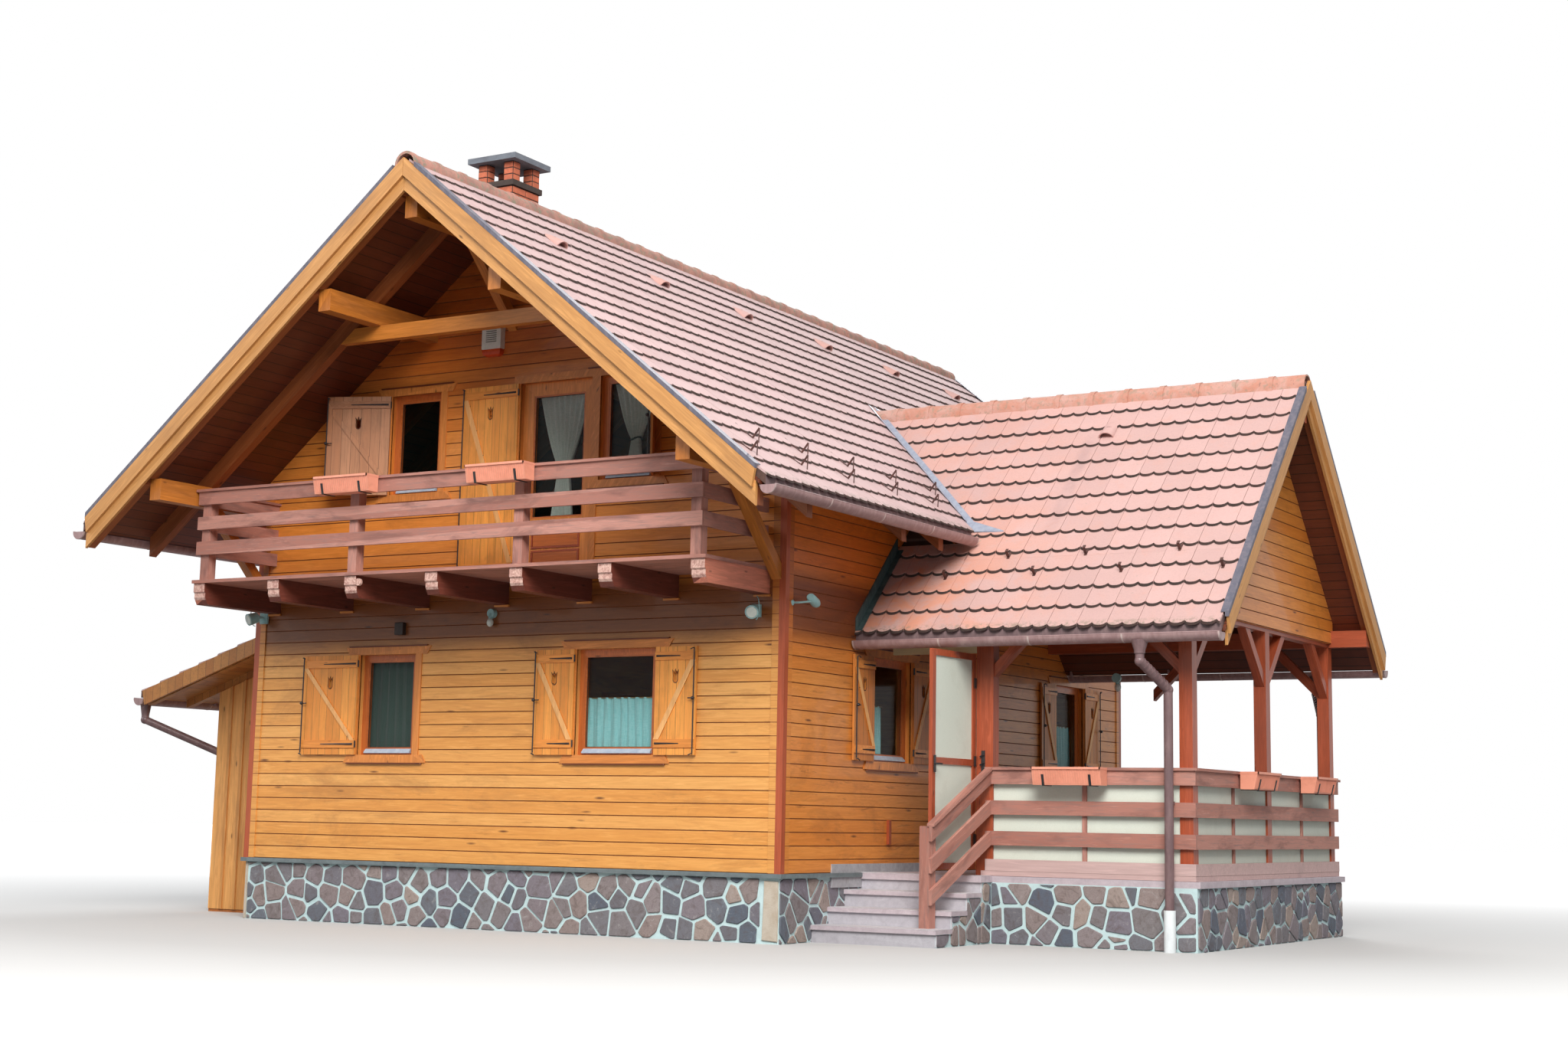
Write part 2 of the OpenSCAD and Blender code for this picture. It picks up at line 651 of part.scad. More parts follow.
// Lapped round-backed ridge tiles along Y, each with a collar over the next; legs reach the slopes
module ridge_row(length, legs) {
    n = round(length / cap_len);
    step = length / n;
    for (i = [0:n - 1]) translate([0, i * step, 0]) {
        cap_piece(cap_r, step, legs);
        cap_piece(cap_r + 10, 60, legs);
    }
}
module cap_piece(r, length, legs) along_y(0, length) difference() {
    union() {
        circle(r = r);
        rect(-r, r, -legs, 0);
    }
    circle(r = cap_r - cap_wall);
    rect(-cap_r + cap_wall, cap_r - cap_wall, -legs - eps, 0);
    rect(-2 * r, 2 * r, -legs - 2 * r, -legs);
}
function cap_legs(m) = (cap_r + 10) * m + 35 - cap_sink;
module ridge_caps() color("rosybrown") from_front() {
    difference() {
        translate([0, verge_y0, ridge_z - cap_sink])
            ridge_row(house_l + 2 * verge_over, cap_legs(roof_m));
        both_sides() along_y(verge_y0 - 50, verge_y1 + 50) main_courses();
    }
    difference() {
        translate([0, porch_mid, porch_ridge_z - cap_sink]) rotate([0, 0, -90])
            ridge_row(porch_verge_x, cap_legs(porch_m));
        porch_slopes(0, porch_verge_x + 100) porch_courses();
        along_y(porch_front, porch_y1) polygon([
            [-100, ridge_z + 800], [0, ridge_z], [0, roof_z(0, board_d - flash_t)],
            [eave_x, roof_z(eave_x, board_d - flash_t)], [eave_x, 0], [-100, 0]
        ]);
    }
}
barge_top_d = 12;
module barge_section() polygon([
    [mitre, roof_z(mitre, barge_top_d)], [board_eave_x - 30, roof_z(board_eave_x - 30, barge_top_d)],
    [board_eave_x - 60, roof_z(board_eave_x - 60, barge_top_d + barge_d)],
    [mitre, roof_z(mitre, barge_top_d + barge_d)]
]);
module barge_boards() color("goldenrod") from_front() {
    both_sides() main_barge_boards();
    porch_barge_boards();
}
module barge_inner_section() main_layer(rafter_top_d + seat, rafter_low_d + 8, rafter_eave_x);
module main_barge_boards() {
    along_y(verge_y0 - barge_t, verge_y0) barge_section();
    along_y(verge_y1, verge_y1 + barge_t) barge_section();
    along_y(verge_y0 + seat, verge_y0 + barge_t) barge_inner_section();
    along_y(verge_y1 - barge_t, verge_y1 - seat) barge_inner_section();
}
module porch_barge_boards() {
    porch_slopes(porch_verge_x, porch_verge_x + barge_t) polygon([
        [mitre, porch_z(mitre, barge_top_d)], [porch_board_u - 20, porch_z(porch_board_u - 20, barge_top_d)],
        [porch_board_u - 60, porch_z(porch_board_u - 60, barge_top_d + barge_d)],
        [mitre, porch_z(mitre, barge_top_d + barge_d)]
    ]);
    porch_slopes(porch_verge_x - 28, porch_verge_x - seat)
        porch_layer(rafter_top_d + seat, rafter_top_d + 130, porch_board_u - 60);
}
flash_t = 8;
module valley_flashing() color("slategray") from_front() difference() {
    intersection() {
        along_y(porch_front - 900, porch_y1 + 900)
            main_layer(board_d - flash_t, board_d, eave_x, 1200);
        porch_prism(valley_gap);
    }
    porch_prism(0);
}

// A gutter trough with its straps, drawn as distance from the eave and height
module gutter_section() difference() {
    circle(r = gutter_r);
    circle(r = gutter_r - gutter_t);
    translate([-2 * gutter_r, 0]) square([4 * gutter_r, 2 * gutter_r]);
}
// The strap runs from the underside of the boards to the back of the trough
strap_w = 34;
module gutter_strap(rise, slope) {
    back = -gutter_r - seat;
    edge = -gutter_r - board_gap;
    end = edge - strap_w;
    under = rise - seat;
    polygon([
        [back, -2], [back, -30], [end, under - strap_w + strap_w * slope],
        [end, under + strap_w * slope], [edge, under]
    ]);
}
module gutter_run(y0, y1, rise, slope) {
    along_y(y0, y1) gutter_section();
    for (e = [y0, y1 - gutter_t]) along_y(e, e + gutter_t) intersection() {
        circle(r = gutter_r);
        translate([-2 * gutter_r, -2 * gutter_r]) square([4 * gutter_r, 2 * gutter_r]);
    }
    n = max(2, round((y1 - y0) / 900));
    for (i = [0:n - 1]) {
        y = y0 + 60 + i * (y1 - y0 - 120) / (n - 1);
        along_y(y - 12, y + 12) gutter_strap(rise, slope);
    }
}
// Gap between the edge of the boards and the trough
board_gap = 6;
gutter_x = board_eave_x + gutter_r + board_gap;
gutter_z = roof_z(eave_x, tile_t) - 6;
main_strap_rise = roof_z(board_eave_x, rafter_top_d) - gutter_z;
porch_board_u = porch_eave_y - 45;
porch_gutter_u = porch_board_u + gutter_r + board_gap;
porch_gutter_z = porch_z(porch_eave_y, tile_t) - 6;
porch_strap_rise = porch_z(porch_board_u, rafter_top_d) - porch_gutter_z;
// The main gutters stop where the porch roof passes under them
gutter_stop = porch_mid - (porch_ridge_z - (gutter_z - gutter_r - 40)) / porch_m;
lean_board_x = lean_eave_x - 45;
lean_gutter_x = lean_board_x + gutter_r + board_gap;
lean_gutter_z = lean_z(lean_eave_x, tile_t) - 6;
module gutters() color("rosybrown") from_front() {
    translate([gutter_x, 0, gutter_z]) {
        gutter_run(verge_y0, gutter_stop, main_strap_rise, roof_m);
        gutter_run(2 * porch_mid - gutter_stop, verge_y1, main_strap_rise, roof_m);
    }
    mirror([1, 0, 0]) translate([gutter_x, 0, gutter_z]) gutter_run(verge_y0, verge_y1, main_strap_rise, roof_m);
    translate([0, porch_mid, 0]) for (s = [0, 1]) mirror([0, s, 0])
        translate([0, -porch_gutter_u, porch_gutter_z]) rotate([0, 0, -90])
            gutter_run(half_w + trim_t + 4, porch_verge_x, porch_strap_rise, porch_m);
    mirror([1, 0, 0]) translate([lean_gutter_x, 0, lean_gutter_z])
        gutter_run(lean_front - lean_verge_over, lean_front + lean_l + lean_verge_over,
            lean_z(lean_board_x, rafter_top_d) - lean_gutter_z, lean_m);
}
// A pipe through a list of points, with a ball at each bend
module pipe_run(pts, r) {
    for (i = [0:len(pts) - 2]) pipe_leg(pts[i], pts[i + 1], r);
    for (i = [1:len(pts) - 2]) translate(pts[i]) sphere(r = r + 6);
}
module pipe_leg(a, b, r) {
    d = b - a;
    translate(a) rotate([0, acos(d[2] / norm(d)), atan2(d[1], d[0])]) cylinder(r = r, h = norm(d));
}
pipe_y = porch_front - 45 - pipe_r - 12;
pipe_x = porch_x - 230;
standpipe_h = 380;
// A funnel that is cut to the round of the trough over it; the trough runs along X, or along Y when turned
module funnel(turn) difference() {
    translate([0, 0, -110]) cylinder(r1 = pipe_r, r2 = pipe_r + 22, h = 140);
    rotate([0, 0, turn]) translate([-200, 0, gutter_r]) rotate([0, 90, 0]) cylinder(r = gutter_r + 1, h = 400);
}
module porch_pipe() {
    y0 = porch_mid - porch_gutter_u;
    z0 = porch_gutter_z - gutter_r;
    translate([pipe_x - 150, y0, z0]) funnel(0);
    pipe_run([
        [pipe_x - 150, y0, z0 - 110], [pipe_x - 150, y0, z0 - 170], [pipe_x, pipe_y, z0 - 420],
        [pipe_x, pipe_y, standpipe_h]
    ], pipe_r);
    translate([pipe_x, pipe_y, 0]) cylinder(r = standpipe_r, h = standpipe_h);
    block(pipe_x - 15, pipe_x + 15, pipe_y, post_face - rail_t, ledge_z + 700, ledge_z + 730);
    block(pipe_x - 15, pipe_x + 15, pipe_y, porch_front, plinth_h - 330, plinth_h - 300);
}
module lean_pipe() {
    x0 = lean_gutter_x;
    y0 = lean_front - lean_verge_over + 120;
    z0 = lean_gutter_z - gutter_r;
    x1 = lean_x + pipe_r + 12;
    y1 = lean_front + 120;
    translate([x0, y0, z0]) funnel(90);
    pipe_run([[x0, y0, z0 - 110], [x0, y0, z0 - 160], [x1, y1, z0 - 520], [x1, y1, standpipe_h]], pipe_r);
    translate([x1, y1, 0]) cylinder(r = standpipe_r, h = standpipe_h);
    block(lean_x, x1, y1 - 15, y1 + 15, 1200, 1230);
}
module downpipes() color("rosybrown") from_front() {
    porch_pipe();
    translate([0, porch_mid, 0]) mirror([0, 1, 0]) translate([0, -porch_mid, 0]) porch_pipe();
    mirror([1, 0, 0]) lean_pipe();
}

cap_slab_t = 60;
flue_w = 240;
flue_d = 400;
chimney_h = ridge_z + chimney_rise;
lantern_z = chimney_h - cap_slab_t - lantern_h;
pier_w = 120;
collar_out = 26;
// A stack with its flue, a collar round its head and four piers that carry the cap
module chimney() color("indianred") from_front() {
    difference() {
        union() {
            stack_block(0, footing_t, lantern_z);
            stack_block(collar_out, lantern_z - 60, lantern_z);
        }
        stack_block((flue_w - stack_w) / 2, lantern_z - flue_d, lantern_z + eps);
    }
    for (sx = [-1, 1]) for (sy = [-1, 1])
        translate([stack_x + sx * (stack_w - pier_w) / 2, chimney_y + sy * (stack_w - pier_w) / 2, 0])
            block(-pier_w / 2, pier_w / 2, -pier_w / 2, pier_w / 2, lantern_z + seat, chimney_h - cap_slab_t);
}
module chimney_cap() color("gray") from_front()
    translate([stack_x - cap_w / 2, chimney_y - cap_w / 2, chimney_h - cap_slab_t])
        cube([cap_w, cap_w, cap_slab_t]);

// Joist ends are carved: a quirk, a hollow and a slanted foot
module joist_outline() polygon([
    [0, joist_top], [-joist_reach, joist_top], [-joist_reach, joist_top - 90],
    [-joist_reach + 16, joist_top - 104], [-joist_reach + 16, joist_top - 150],
    [-joist_reach + 55, joist_top - joist_h], [0, joist_top - joist_h]
]);
module balcony_joists() color("rosybrown") from_front()
    for (x = joist_xs) along_x(x - joist_w / 2, x + joist_w / 2) joist_outline();
deck_half = 3 * joist_gap + joist_w / 2 + 15;
module balcony_deck() color("rosybrown") from_front()
    block(-deck_half, deck_half, -joist_reach - 20, 0, joist_top, upper_z);
balcony_face = -joist_reach + 12;
cap_t = 26;
cap_over = 22;
// The railing ends inside the side purlins
rail_end = half_w - wall_t / 2 - purlin_w / 2 - rail_t - cap_over - 8;
end_post_x = rail_end - balcony_post_w / 2;
balcony_post_xs = [-end_post_x, -joist_gap, joist_gap, end_post_x];
// Heights of the feet of three rails under a railing of height h
function rail_feet(h) = [for (i = [0:2]) h - cap_t - rail_h - i * (h - cap_t - rail_h) / 3];
// Every board is a piece of its own, a hair away from the boards that it meets
module balcony_railing() color("rosybrown") from_front() {
    cap_z = upper_z + railing_h - cap_t;
    side_x = rail_end + rail_t;
    cap_back = balcony_face + balcony_post_w;
    for (x = balcony_post_xs)
        block(x - balcony_post_w / 2, x + balcony_post_w / 2, balcony_face + seat, cap_back,
            upper_z, cap_z - seat);
    for (z = rail_feet(railing_h)) {
        block(-side_x, side_x, balcony_face - rail_t, balcony_face, upper_z + z, upper_z + z + rail_h - seat);
        both_sides() block(rail_end + seat, side_x, balcony_face + seat, 0,
            upper_z + z, upper_z + z + rail_h - seat);
    }
    block(-side_x - cap_over, side_x + cap_over, balcony_face - rail_t - cap_over, cap_back,
        cap_z, cap_z + cap_t);
    both_sides() block(rail_end - cap_over, side_x + cap_over, cap_back + seat, 0, cap_z, cap_z + cap_t);
}

porch_wall_t = 300;
floor_under = ledge_z - porch_floor_t;
module porch_plinth() color("dimgray") from_front() difference() {
    block(half_w, porch_x, porch_front, porch_y1, 0, floor_under);
    block(half_w - eps, porch_x - porch_wall_t, porch_front + porch_wall_t, porch_y1 - porch_wall_t,
        -eps, floor_under + eps);
}
floor_over = 32;
module porch_floor() color("lightgray") from_front()
    block(half_w, porch_x + floor_over, porch_front, porch_y1 + floor_over, floor_under, ledge_z);
module porch_steps() color("dimgray") from_front() along_x(half_w, half_w + step_w) polygon([
    [porch_front, 0], [step_front, 0], for (i = [0:3]) each [
        [step_front + i * tread_d, (i + 1) * riser - (i == 3 ? porch_floor_t : tread_t)],
        [i == 3 ? porch_front : step_front + (i + 1) * tread_d,
            (i + 1) * riser - (i == 3 ? porch_floor_t : tread_t)]
    ]
]);
module step_treads() color("silver") from_front() {
    for (i = [0:2]) block(half_w, half_w + step_w + 20, step_front + i * tread_d - nosing,
        step_front + (i + 1) * tread_d, (i + 1) * riser - tread_t, (i + 1) * riser);
    block(half_w, half_w + step_w + 20, step_front + 3 * tread_d - nosing, porch_front, floor_under, ledge_z);
}
corner_x = porch_x - post_inset - post_w;
far_face = porch_y1 - post_inset;
module post(x, y, w) block(x, x + w, y, y + post_w, ledge_z, post_top);
module porch_posts() color("chocolate") from_front() {
    post(stair_post_x, post_face, post_w);
    difference() {
        block(stair_post_x - jamb_w, stair_post_x - seat, post_face, post_face + post_w - 30, ledge_z, post_top);
        for (z = hinge_zs) translate([hinge_x, hinge_y, z - hinge_play])
            cylinder(r = knuckle_r + hinge_play, h = knuckle_h + 2 * hinge_play);
    }
    post(corner_x, post_face, post_w);
    post(corner_x, porch_mid - post_w / 2, post_w);
    post(corner_x, far_face - post_w, post_w);
}
tie_h = 120;
header_gap = 200;
porch_purlin_end = porch_verge_x - 40;
ridge_purlin_top = porch_z(porch_purlin_w / 2, porch_rafter_low_d) + 20;
module porch_purlin(u, top) along_x(half_w, porch_purlin_end)
    translate([porch_mid, 0]) rect(u - porch_purlin_w / 2, u + porch_purlin_w / 2, top - porch_purlin_h, top);
module porch_beams() color("chocolate") from_front() {
    porch_purlin(-porch_purlin_u, porch_purlin_top);
    porch_purlin(porch_purlin_u, porch_purlin_top);
    difference() {
        translate([-half_w / 2, 0, 0]) along_x(half_w, porch_purlin_end + half_w / 2) translate([porch_mid, 0])
            rect(-porch_purlin_w / 2, porch_purlin_w / 2, ridge_purlin_top - porch_purlin_h, ridge_purlin_top);
        main_body_cut();
    }
    block(corner_x + 10, corner_x + post_w, porch_mid - porch_purlin_u + porch_purlin_w / 2,
        porch_mid + porch_purlin_u - porch_purlin_w / 2, post_top, post_top + tie_h);
    block(corner_x + 10, corner_x + post_w, porch_mid - post_w / 2, porch_mid + post_w / 2,
        post_top + tie_h, ridge_purlin_top - porch_purlin_h);
    block(half_w + header_gap, stair_post_x - jamb_w, post_face, post_face + 40,
        leaf_z + leaf_h + leaf_gap, post_top);
    porch_knees();
}
knee_drop = 560;
knee_t = 90;
// Braces from the posts to the purlins, and across the end to the tie beam
module porch_knees() {
    s = knee_t * sqrt(2);
    tri = [[0, post_top - knee_drop], [knee_drop, post_top], [knee_drop - s, post_top],
        [0, post_top - knee_drop + s]];
    for (y = [post_face + 20, far_face - 20 - knee_t]) {
        translate([stair_post_x + post_w, 0, 0]) along_y(y, y + knee_t) polygon(tri);
        translate([corner_x, 0, 0]) mirror([1, 0, 0]) along_y(y, y + knee_t) polygon(tri);
    }
    for (y = [post_face + post_w, porch_mid + post_w / 2])
        translate([0, y, 0]) along_x(corner_x + 25, corner_x + 25 + knee_t) polygon(tri);
    for (y = [porch_mid - post_w / 2, far_face - post_w])
        translate([0, y, 0]) mirror([0, 1, 0]) along_x(corner_x + 25, corner_x + 25 + knee_t) polygon(tri);
}
module porch_boarding() color("sienna") from_front() difference() {
    porch_slopes(1200, porch_verge_x) porch_layer(board_d + seat, rafter_top_d, porch_board_u);
    main_body_cut();
}
module porch_tiles() color("salmon") from_front() difference() {
    porch_slopes(1200, porch_verge_x - 25) porch_courses();
    main_body_cut();
}
module porch_gable() color("orange") from_front() {
    difference() {
        along_x(corner_x + post_w, corner_x + post_w + 28) translate([porch_mid, 0]) polygon([
            [-porch_purlin_u, post_top + 40], [porch_purlin_u, post_top + 40],
            [porch_purlin_u, porch_z(porch_purlin_u, rafter_top_d + seat)], [0, porch_z(0, rafter_top_d + seat)],
            [-porch_purlin_u, porch_z(porch_purlin_u, rafter_top_d + seat)]
        ]);
        for (u = [-porch_purlin_u, porch_purlin_u]) porch_purlin(u, porch_purlin_top);
        porch_purlin(0, ridge_purlin_top);
    }
}

porch_rail_feet = rail_feet(porch_railing_h);
kick_h = 110;
kick_gap = 50;
slat_w = 45;
slat_t = 20;
// Three rails, a cap and a kick board on the outer face of a row of posts, from a0 to a1
module rail_set(a0, a1, cap_end) {
    for (z = porch_rail_feet) block(a0, a1, -rail_t, 0, ledge_z + z, ledge_z + z + rail_h - seat);
    block(a0, a1, -rail_t, 0, ledge_z + kick_gap, ledge_z + kick_gap + kick_h);
    block(a0, a1 + cap_end, -rail_t - cap_over, -seat, ledge_z + porch_railing_h - cap_t,
        ledge_z + porch_railing_h);
}
// An upright slat behind the rails, in the middle of a bay
module slat(a) block(a - slat_w / 2, a + slat_w / 2, seat, slat_t, ledge_z + kick_gap,
    ledge_z + porch_railing_h - cap_t - seat);
end_face = corner_x + post_w;
// The far rails end against a batten on the house wall
wall_end_x = half_w + trim_t;
bay_mid = (porch_mid + post_face + post_w / 2) / 2;
module porch_railing() color("rosybrown") from_front() {
    translate([0, post_face, 0]) {
        rail_set(stair_post_x + post_w / 2, end_face + rail_t, cap_over);
        slat((stair_post_x + post_w + corner_x) / 2);
    }
    translate([end_face, 0, 0]) rotate([0, 0, 90]) {
        rail_set(post_face + seat, far_face - seat, 0);
        slat(bay_mid);
        slat(2 * porch_mid - bay_mid);
    }
    translate([0, far_face, 0]) mirror([0, 1, 0]) {
        rail_set(wall_end_x + seat, end_face + rail_t, cap_over);
        slat((wall_end_x + corner_x) / 2);
    }
    block(half_w, wall_end_x, far_face - slat_w, far_face + rail_t, ledge_z, ground_foot - trim_w - 5);
}
screen_h = porch_railing_h - cap_t - 60;
screen_back = slat_t + 2;
module porch_screens() color("honeydew") from_front() {
    z0 = ledge_z + 60;
    near = post_face + screen_back;
    far = far_face - screen_back;
    side = end_face - screen_back;
    block(stair_post_x + post_w, corner_x, near, near + screen_t, z0, z0 + screen_h);
    block(wall_end_x + seat, corner_x, far - screen_t, far, z0, z0 + screen_h);
    block(side - screen_t, side, post_face + post_w, porch_mid - post_w / 2, z0, z0 + screen_h);
    block(side - screen_t, side, porch_mid + post_w / 2, far_face - post_w, z0, z0 + screen_h);
}
// The stair rails run from the porch corner down to a newel that stands on the first tread
newel_w = 110;
stair_fall = 28;
newel_out = 115;
rail_x = stair_post_x + post_w - rail_t;
rail_y = post_face - rail_t;
rail_run = rail_y - step_front - 150;
plan_turn = atan(newel_out / rail_run);
stair_run_fall = rail_run * tan(stair_fall);
module stair_board(x0, x1, foot, h) along_x(x0, x1) polygon([
    [0, foot], [0, foot + h], [-rail_run, foot + h - stair_run_fall], [-rail_run, foot - stair_run_fall]
]);
module at_stair_rail() translate([rail_x, rail_y, 0]) rotate([0, 0, -plan_turn]) children();
module stair_railing() color("rosybrown") from_front() {
    cap_foot = ledge_z + porch_railing_h - cap_t;
    difference() {
        at_stair_rail() for (z = porch_rail_feet) stair_board(seat, rail_t, ledge_z + z, rail_h - seat);
        block(stair_post_x - 200, end_face, rail_y - seat, rail_y + 400, 0, post_top);
    }
    difference() {
        at_stair_rail() stair_board(-cap_over, rail_t + cap_over, cap_foot, cap_t);
        block(stair_post_x - 200, end_face, rail_y - cap_over - seat, rail_y + 400, 0, post_top);
    }
    at_stair_rail() block(-newel_w, 0, -rail_run + 10, -rail_run + 10 + newel_w, riser,
        cap_foot - (rail_run - 10) * tan(stair_fall) - seat);
}

// The screen door is drawn closed along X from its hinge, then turned open
leaf_back = 4;
leaf_side = 5;
module leaf_at() from_front() translate([hinge_x, hinge_y, 0]) rotate([0, 0, leaf_open]) children();
leaf_mid = 990;
module leaf_outline() difference() {
    rect(-leaf_side - leaf_w, -leaf_side, leaf_z, leaf_z + leaf_h);
    leaf_lights();
}
module leaf_lights() {
    rect(-leaf_side - leaf_w + leaf_rail, -leaf_side - leaf_rail, leaf_z + leaf_rail, leaf_z + leaf_mid);
    rect(-leaf_side - leaf_w + leaf_rail, -leaf_side - leaf_rail, leaf_z + leaf_mid + leaf_rail, leaf_z + leaf_h - leaf_rail);
}
// Three knuckles turn on the hinge line, each in a recess of the jamb
knuckle_r = 9;
knuckle_h = 90;
hinge_play = 5;
hinge_zs = [leaf_z + 240, leaf_z + leaf_mid, leaf_z + leaf_h - 330];
module screen_door() color("chocolate") leaf_at() {
    along_y(leaf_back, leaf_back + leaf_t) leaf_outline();
    for (z = hinge_zs) translate([0, 0, z]) cylinder(r = knuckle_r, h = knuckle_h);
}
module screen_door_mesh() color("honeydew") leaf_at()
    along_y(leaf_back + leaf_t / 2 - screen_t / 2, leaf_back + leaf_t / 2 + screen_t / 2) leaf_lights();

lean_rafter_low_d = rafter_top_d + 80;
lean_y0 = lean_front - lean_verge_over;
lean_y1 = lean_front + lean_l + lean_verge_over;
module lean_gable() polygon([
    [half_w, 0], [lean_x, 0], [lean_x, lean_z(lean_x, lean_rafter_low_d)],
    [half_w, lean_z(half_w, lean_rafter_low_d)]
]);
module lean_to_walls() color("peru") from_front() mirror([1, 0, 0]) difference() {
    along_y(lean_front, lean_front + lean_l) lean_gable();
    along_y(lean_front + lean_wall_t, lean_front + lean_l - lean_wall_t) difference() {
        lean_gable();
        rect(lean_x - lean_wall_t, lean_x + 10, 0, lean_h);
    }
    translate([0, 0, -eps]) linear_extrude(lean_h) rect(half_w - 10, lean_x - lean_wall_t,
        lean_front + lean_wall_t, lean_front + lean_l - lean_wall_t);
}
module lean_layer(d0, d1, x_end) polygon([
    [half_w, lean_z(half_w, d0)], [x_end, lean_z(x_end, d0)],
    [x_end, lean_z(x_end, d1)], [half_w, lean_z(half_w, d1)]
]);
module lean_courses() {
    n = round((lean_eave_x - half_w) / cos(lean_pitch) / tile_gauge);
    run = (lean_eave_x - half_w) / n;
    tops = [for (i = [0:n - 1]) each [
        [lean_eave_x - i * run, lean_z(lean_eave_x - i * run, 0)],
        [lean_eave_x - (i + 1) * run, lean_z(lean_eave_x - (i + 1) * run, tile_step)]
    ]];
    polygon(concat(tops, [[half_w, lean_z(half_w, tile_t)], [lean_eave_x, lean_z(lean_eave_x, tile_t)]]));
}
module lean_to_roof() color("sienna") from_front() mirror([1, 0, 0]) {
    along_y(lean_y0 + seat, lean_y1 - seat) lean_layer(board_d + seat, rafter_top_d, lean_board_x);
    for (y = [lean_y0 + 40, lean_front + 10, lean_front + lean_l / 2, lean_front + lean_l - 90, lean_y1 - 120])
        along_y(y, y + 80) lean_layer(rafter_top_d + seat, lean_rafter_low_d, lean_board_x - 40);
    for (y = [lean_y0 - 28, lean_y1]) along_y(y, y + 28) polygon([
        [half_w, lean_z(half_w, barge_top_d)], [lean_board_x, lean_z(lean_board_x, barge_top_d)],
        [lean_board_x - 40, lean_z(lean_board_x - 40, lean_rafter_low_d)],
        [half_w, lean_z(half_w, lean_rafter_low_d)]
    ]);
}
module lean_to_tiles() color("rosybrown") from_front() mirror([1, 0, 0])
    along_y(lean_y0, lean_y1) lean_courses();

// Tapered flower boxes hung on the outside of the top rails
module flower_box() difference() {
    along_x(-box_l / 2, box_l / 2) polygon([[0, 0], [0, box_h], [-box_w, box_h], [-box_w + 40, 0]]);
    along_x(-box_l / 2 + box_t, box_l / 2 - box_t) polygon([
        [-box_t, box_t], [-box_t, box_h + eps], [-box_w + box_t, box_h + eps], [-box_w + 40 + box_t, box_t]
    ]);
}
module flower_boxes() color("coral") from_front() {
    for (x = [-1035, 890]) translate([x, balcony_face - rail_t - cap_over, upper_z + railing_h - box_h])
        flower_box();
    translate([corner_x - 1050, post_face - rail_t - cap_over, ledge_z + porch_railing_h - box_h]) flower_box();
    for (y = [porch_mid - 700, porch_mid + 1200])
        translate([end_face + rail_t + cap_over, y, ledge_z + porch_railing_h - box_h])
            rotate([0, 0, 90]) flower_box();
}

main_plinth();
plinth_ledge();
floors();
end_walls();
side_walls();
gable_walls();
corner_boards();
window_frames();
window_glass();
window_trims();
shutters();
outer_doors();
purlins();
rafters();
roof_braces();
roof_boarding();
roof_tiles();
ridge_caps();
barge_boards();
valley_flashing();
gutters();
downpipes();
chimney();
chimney_cap();
balcony_joists();
balcony_deck();
balcony_railing();
porch_plinth();
porch_floor();
porch_steps();
step_treads();
porch_posts();
porch_beams();
porch_boarding();
porch_tiles();
porch_gable();
porch_railing();
porch_screens();
stair_railing();
screen_door();
screen_door_mesh();
lean_to_walls();
lean_to_roof();
lean_to_tiles();
flower_boxes();
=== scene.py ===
"""Dresses the alpine chalet: tiles, siding, stones, fittings, curtains, finishes and a studio stage."""
import math
import random

import bmesh
import bpy
from mathutils import Matrix, Vector


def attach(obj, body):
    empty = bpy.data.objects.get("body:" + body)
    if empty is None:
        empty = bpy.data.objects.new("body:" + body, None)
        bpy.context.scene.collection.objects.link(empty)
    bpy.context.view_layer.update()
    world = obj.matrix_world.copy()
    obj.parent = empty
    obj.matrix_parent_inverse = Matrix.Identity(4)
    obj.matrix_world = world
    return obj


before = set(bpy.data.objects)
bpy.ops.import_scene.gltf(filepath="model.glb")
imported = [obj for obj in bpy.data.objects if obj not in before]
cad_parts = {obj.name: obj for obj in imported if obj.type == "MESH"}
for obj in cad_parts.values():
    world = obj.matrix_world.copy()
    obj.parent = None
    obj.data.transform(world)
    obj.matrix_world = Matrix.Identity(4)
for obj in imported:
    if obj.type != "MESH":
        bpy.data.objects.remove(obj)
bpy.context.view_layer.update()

bl_info = {
    "name": "Alpine Chalet",
    "version": (1, 0, 0),
    "blender": (4, 5, 0),
    "location": "3D Viewport > Sidebar > Chalet",
    "description": "Dresses the chalet with tiles, siding, stones and fittings",
    "category": "Object",
}

# The house's own sizes, in metres. Y here runs from the front gable; the frame's origin is at mid length
MID = 4.15
HALF_W = 3.32
LENGTH = 8.30
LEDGE = 0.64
ROOF_M = math.tan(math.radians(39.2))
ROOF_COS = math.cos(math.radians(39.2))
EAVE_X = 4.16
RIDGE_Z = 4.08 + EAVE_X * ROOF_M
VERGE = 1.82
PORCH_MID = 4.03
PORCH_M = math.tan(math.radians(45.8))
PORCH_COS = math.cos(math.radians(45.8))
PORCH_EAVE = 2.64
PORCH_RIDGE_Z = 3.00 + PORCH_EAVE * PORCH_M
PORCH_END = 7.14
LEAN_M = math.tan(math.radians(18.4))
LEAN_COS = math.cos(math.radians(18.4))
LEAN_TOP = 3.13
LEAN_EAVE = 5.34
TILE_DEPTH = 0.07
SIDING_FOOT = LEDGE + 0.002
# How far the curtains hang behind the wall's face
CURTAIN_LINE = -0.142
# Heights where painted shade darkens the walls upwards: from the balcony's height up, where sheltered boards
# also keep a deeper tone, and more strongly in the gable
UPPER_PAINTED_SHADE = (2.6, 3.2)
GABLE_PAINTED_SHADE = (4.9, 6.1)
ALONG, BACK, UP = Vector((1, 0, 0)), Vector((0, 1, 0)), Vector((0, 0, 1))


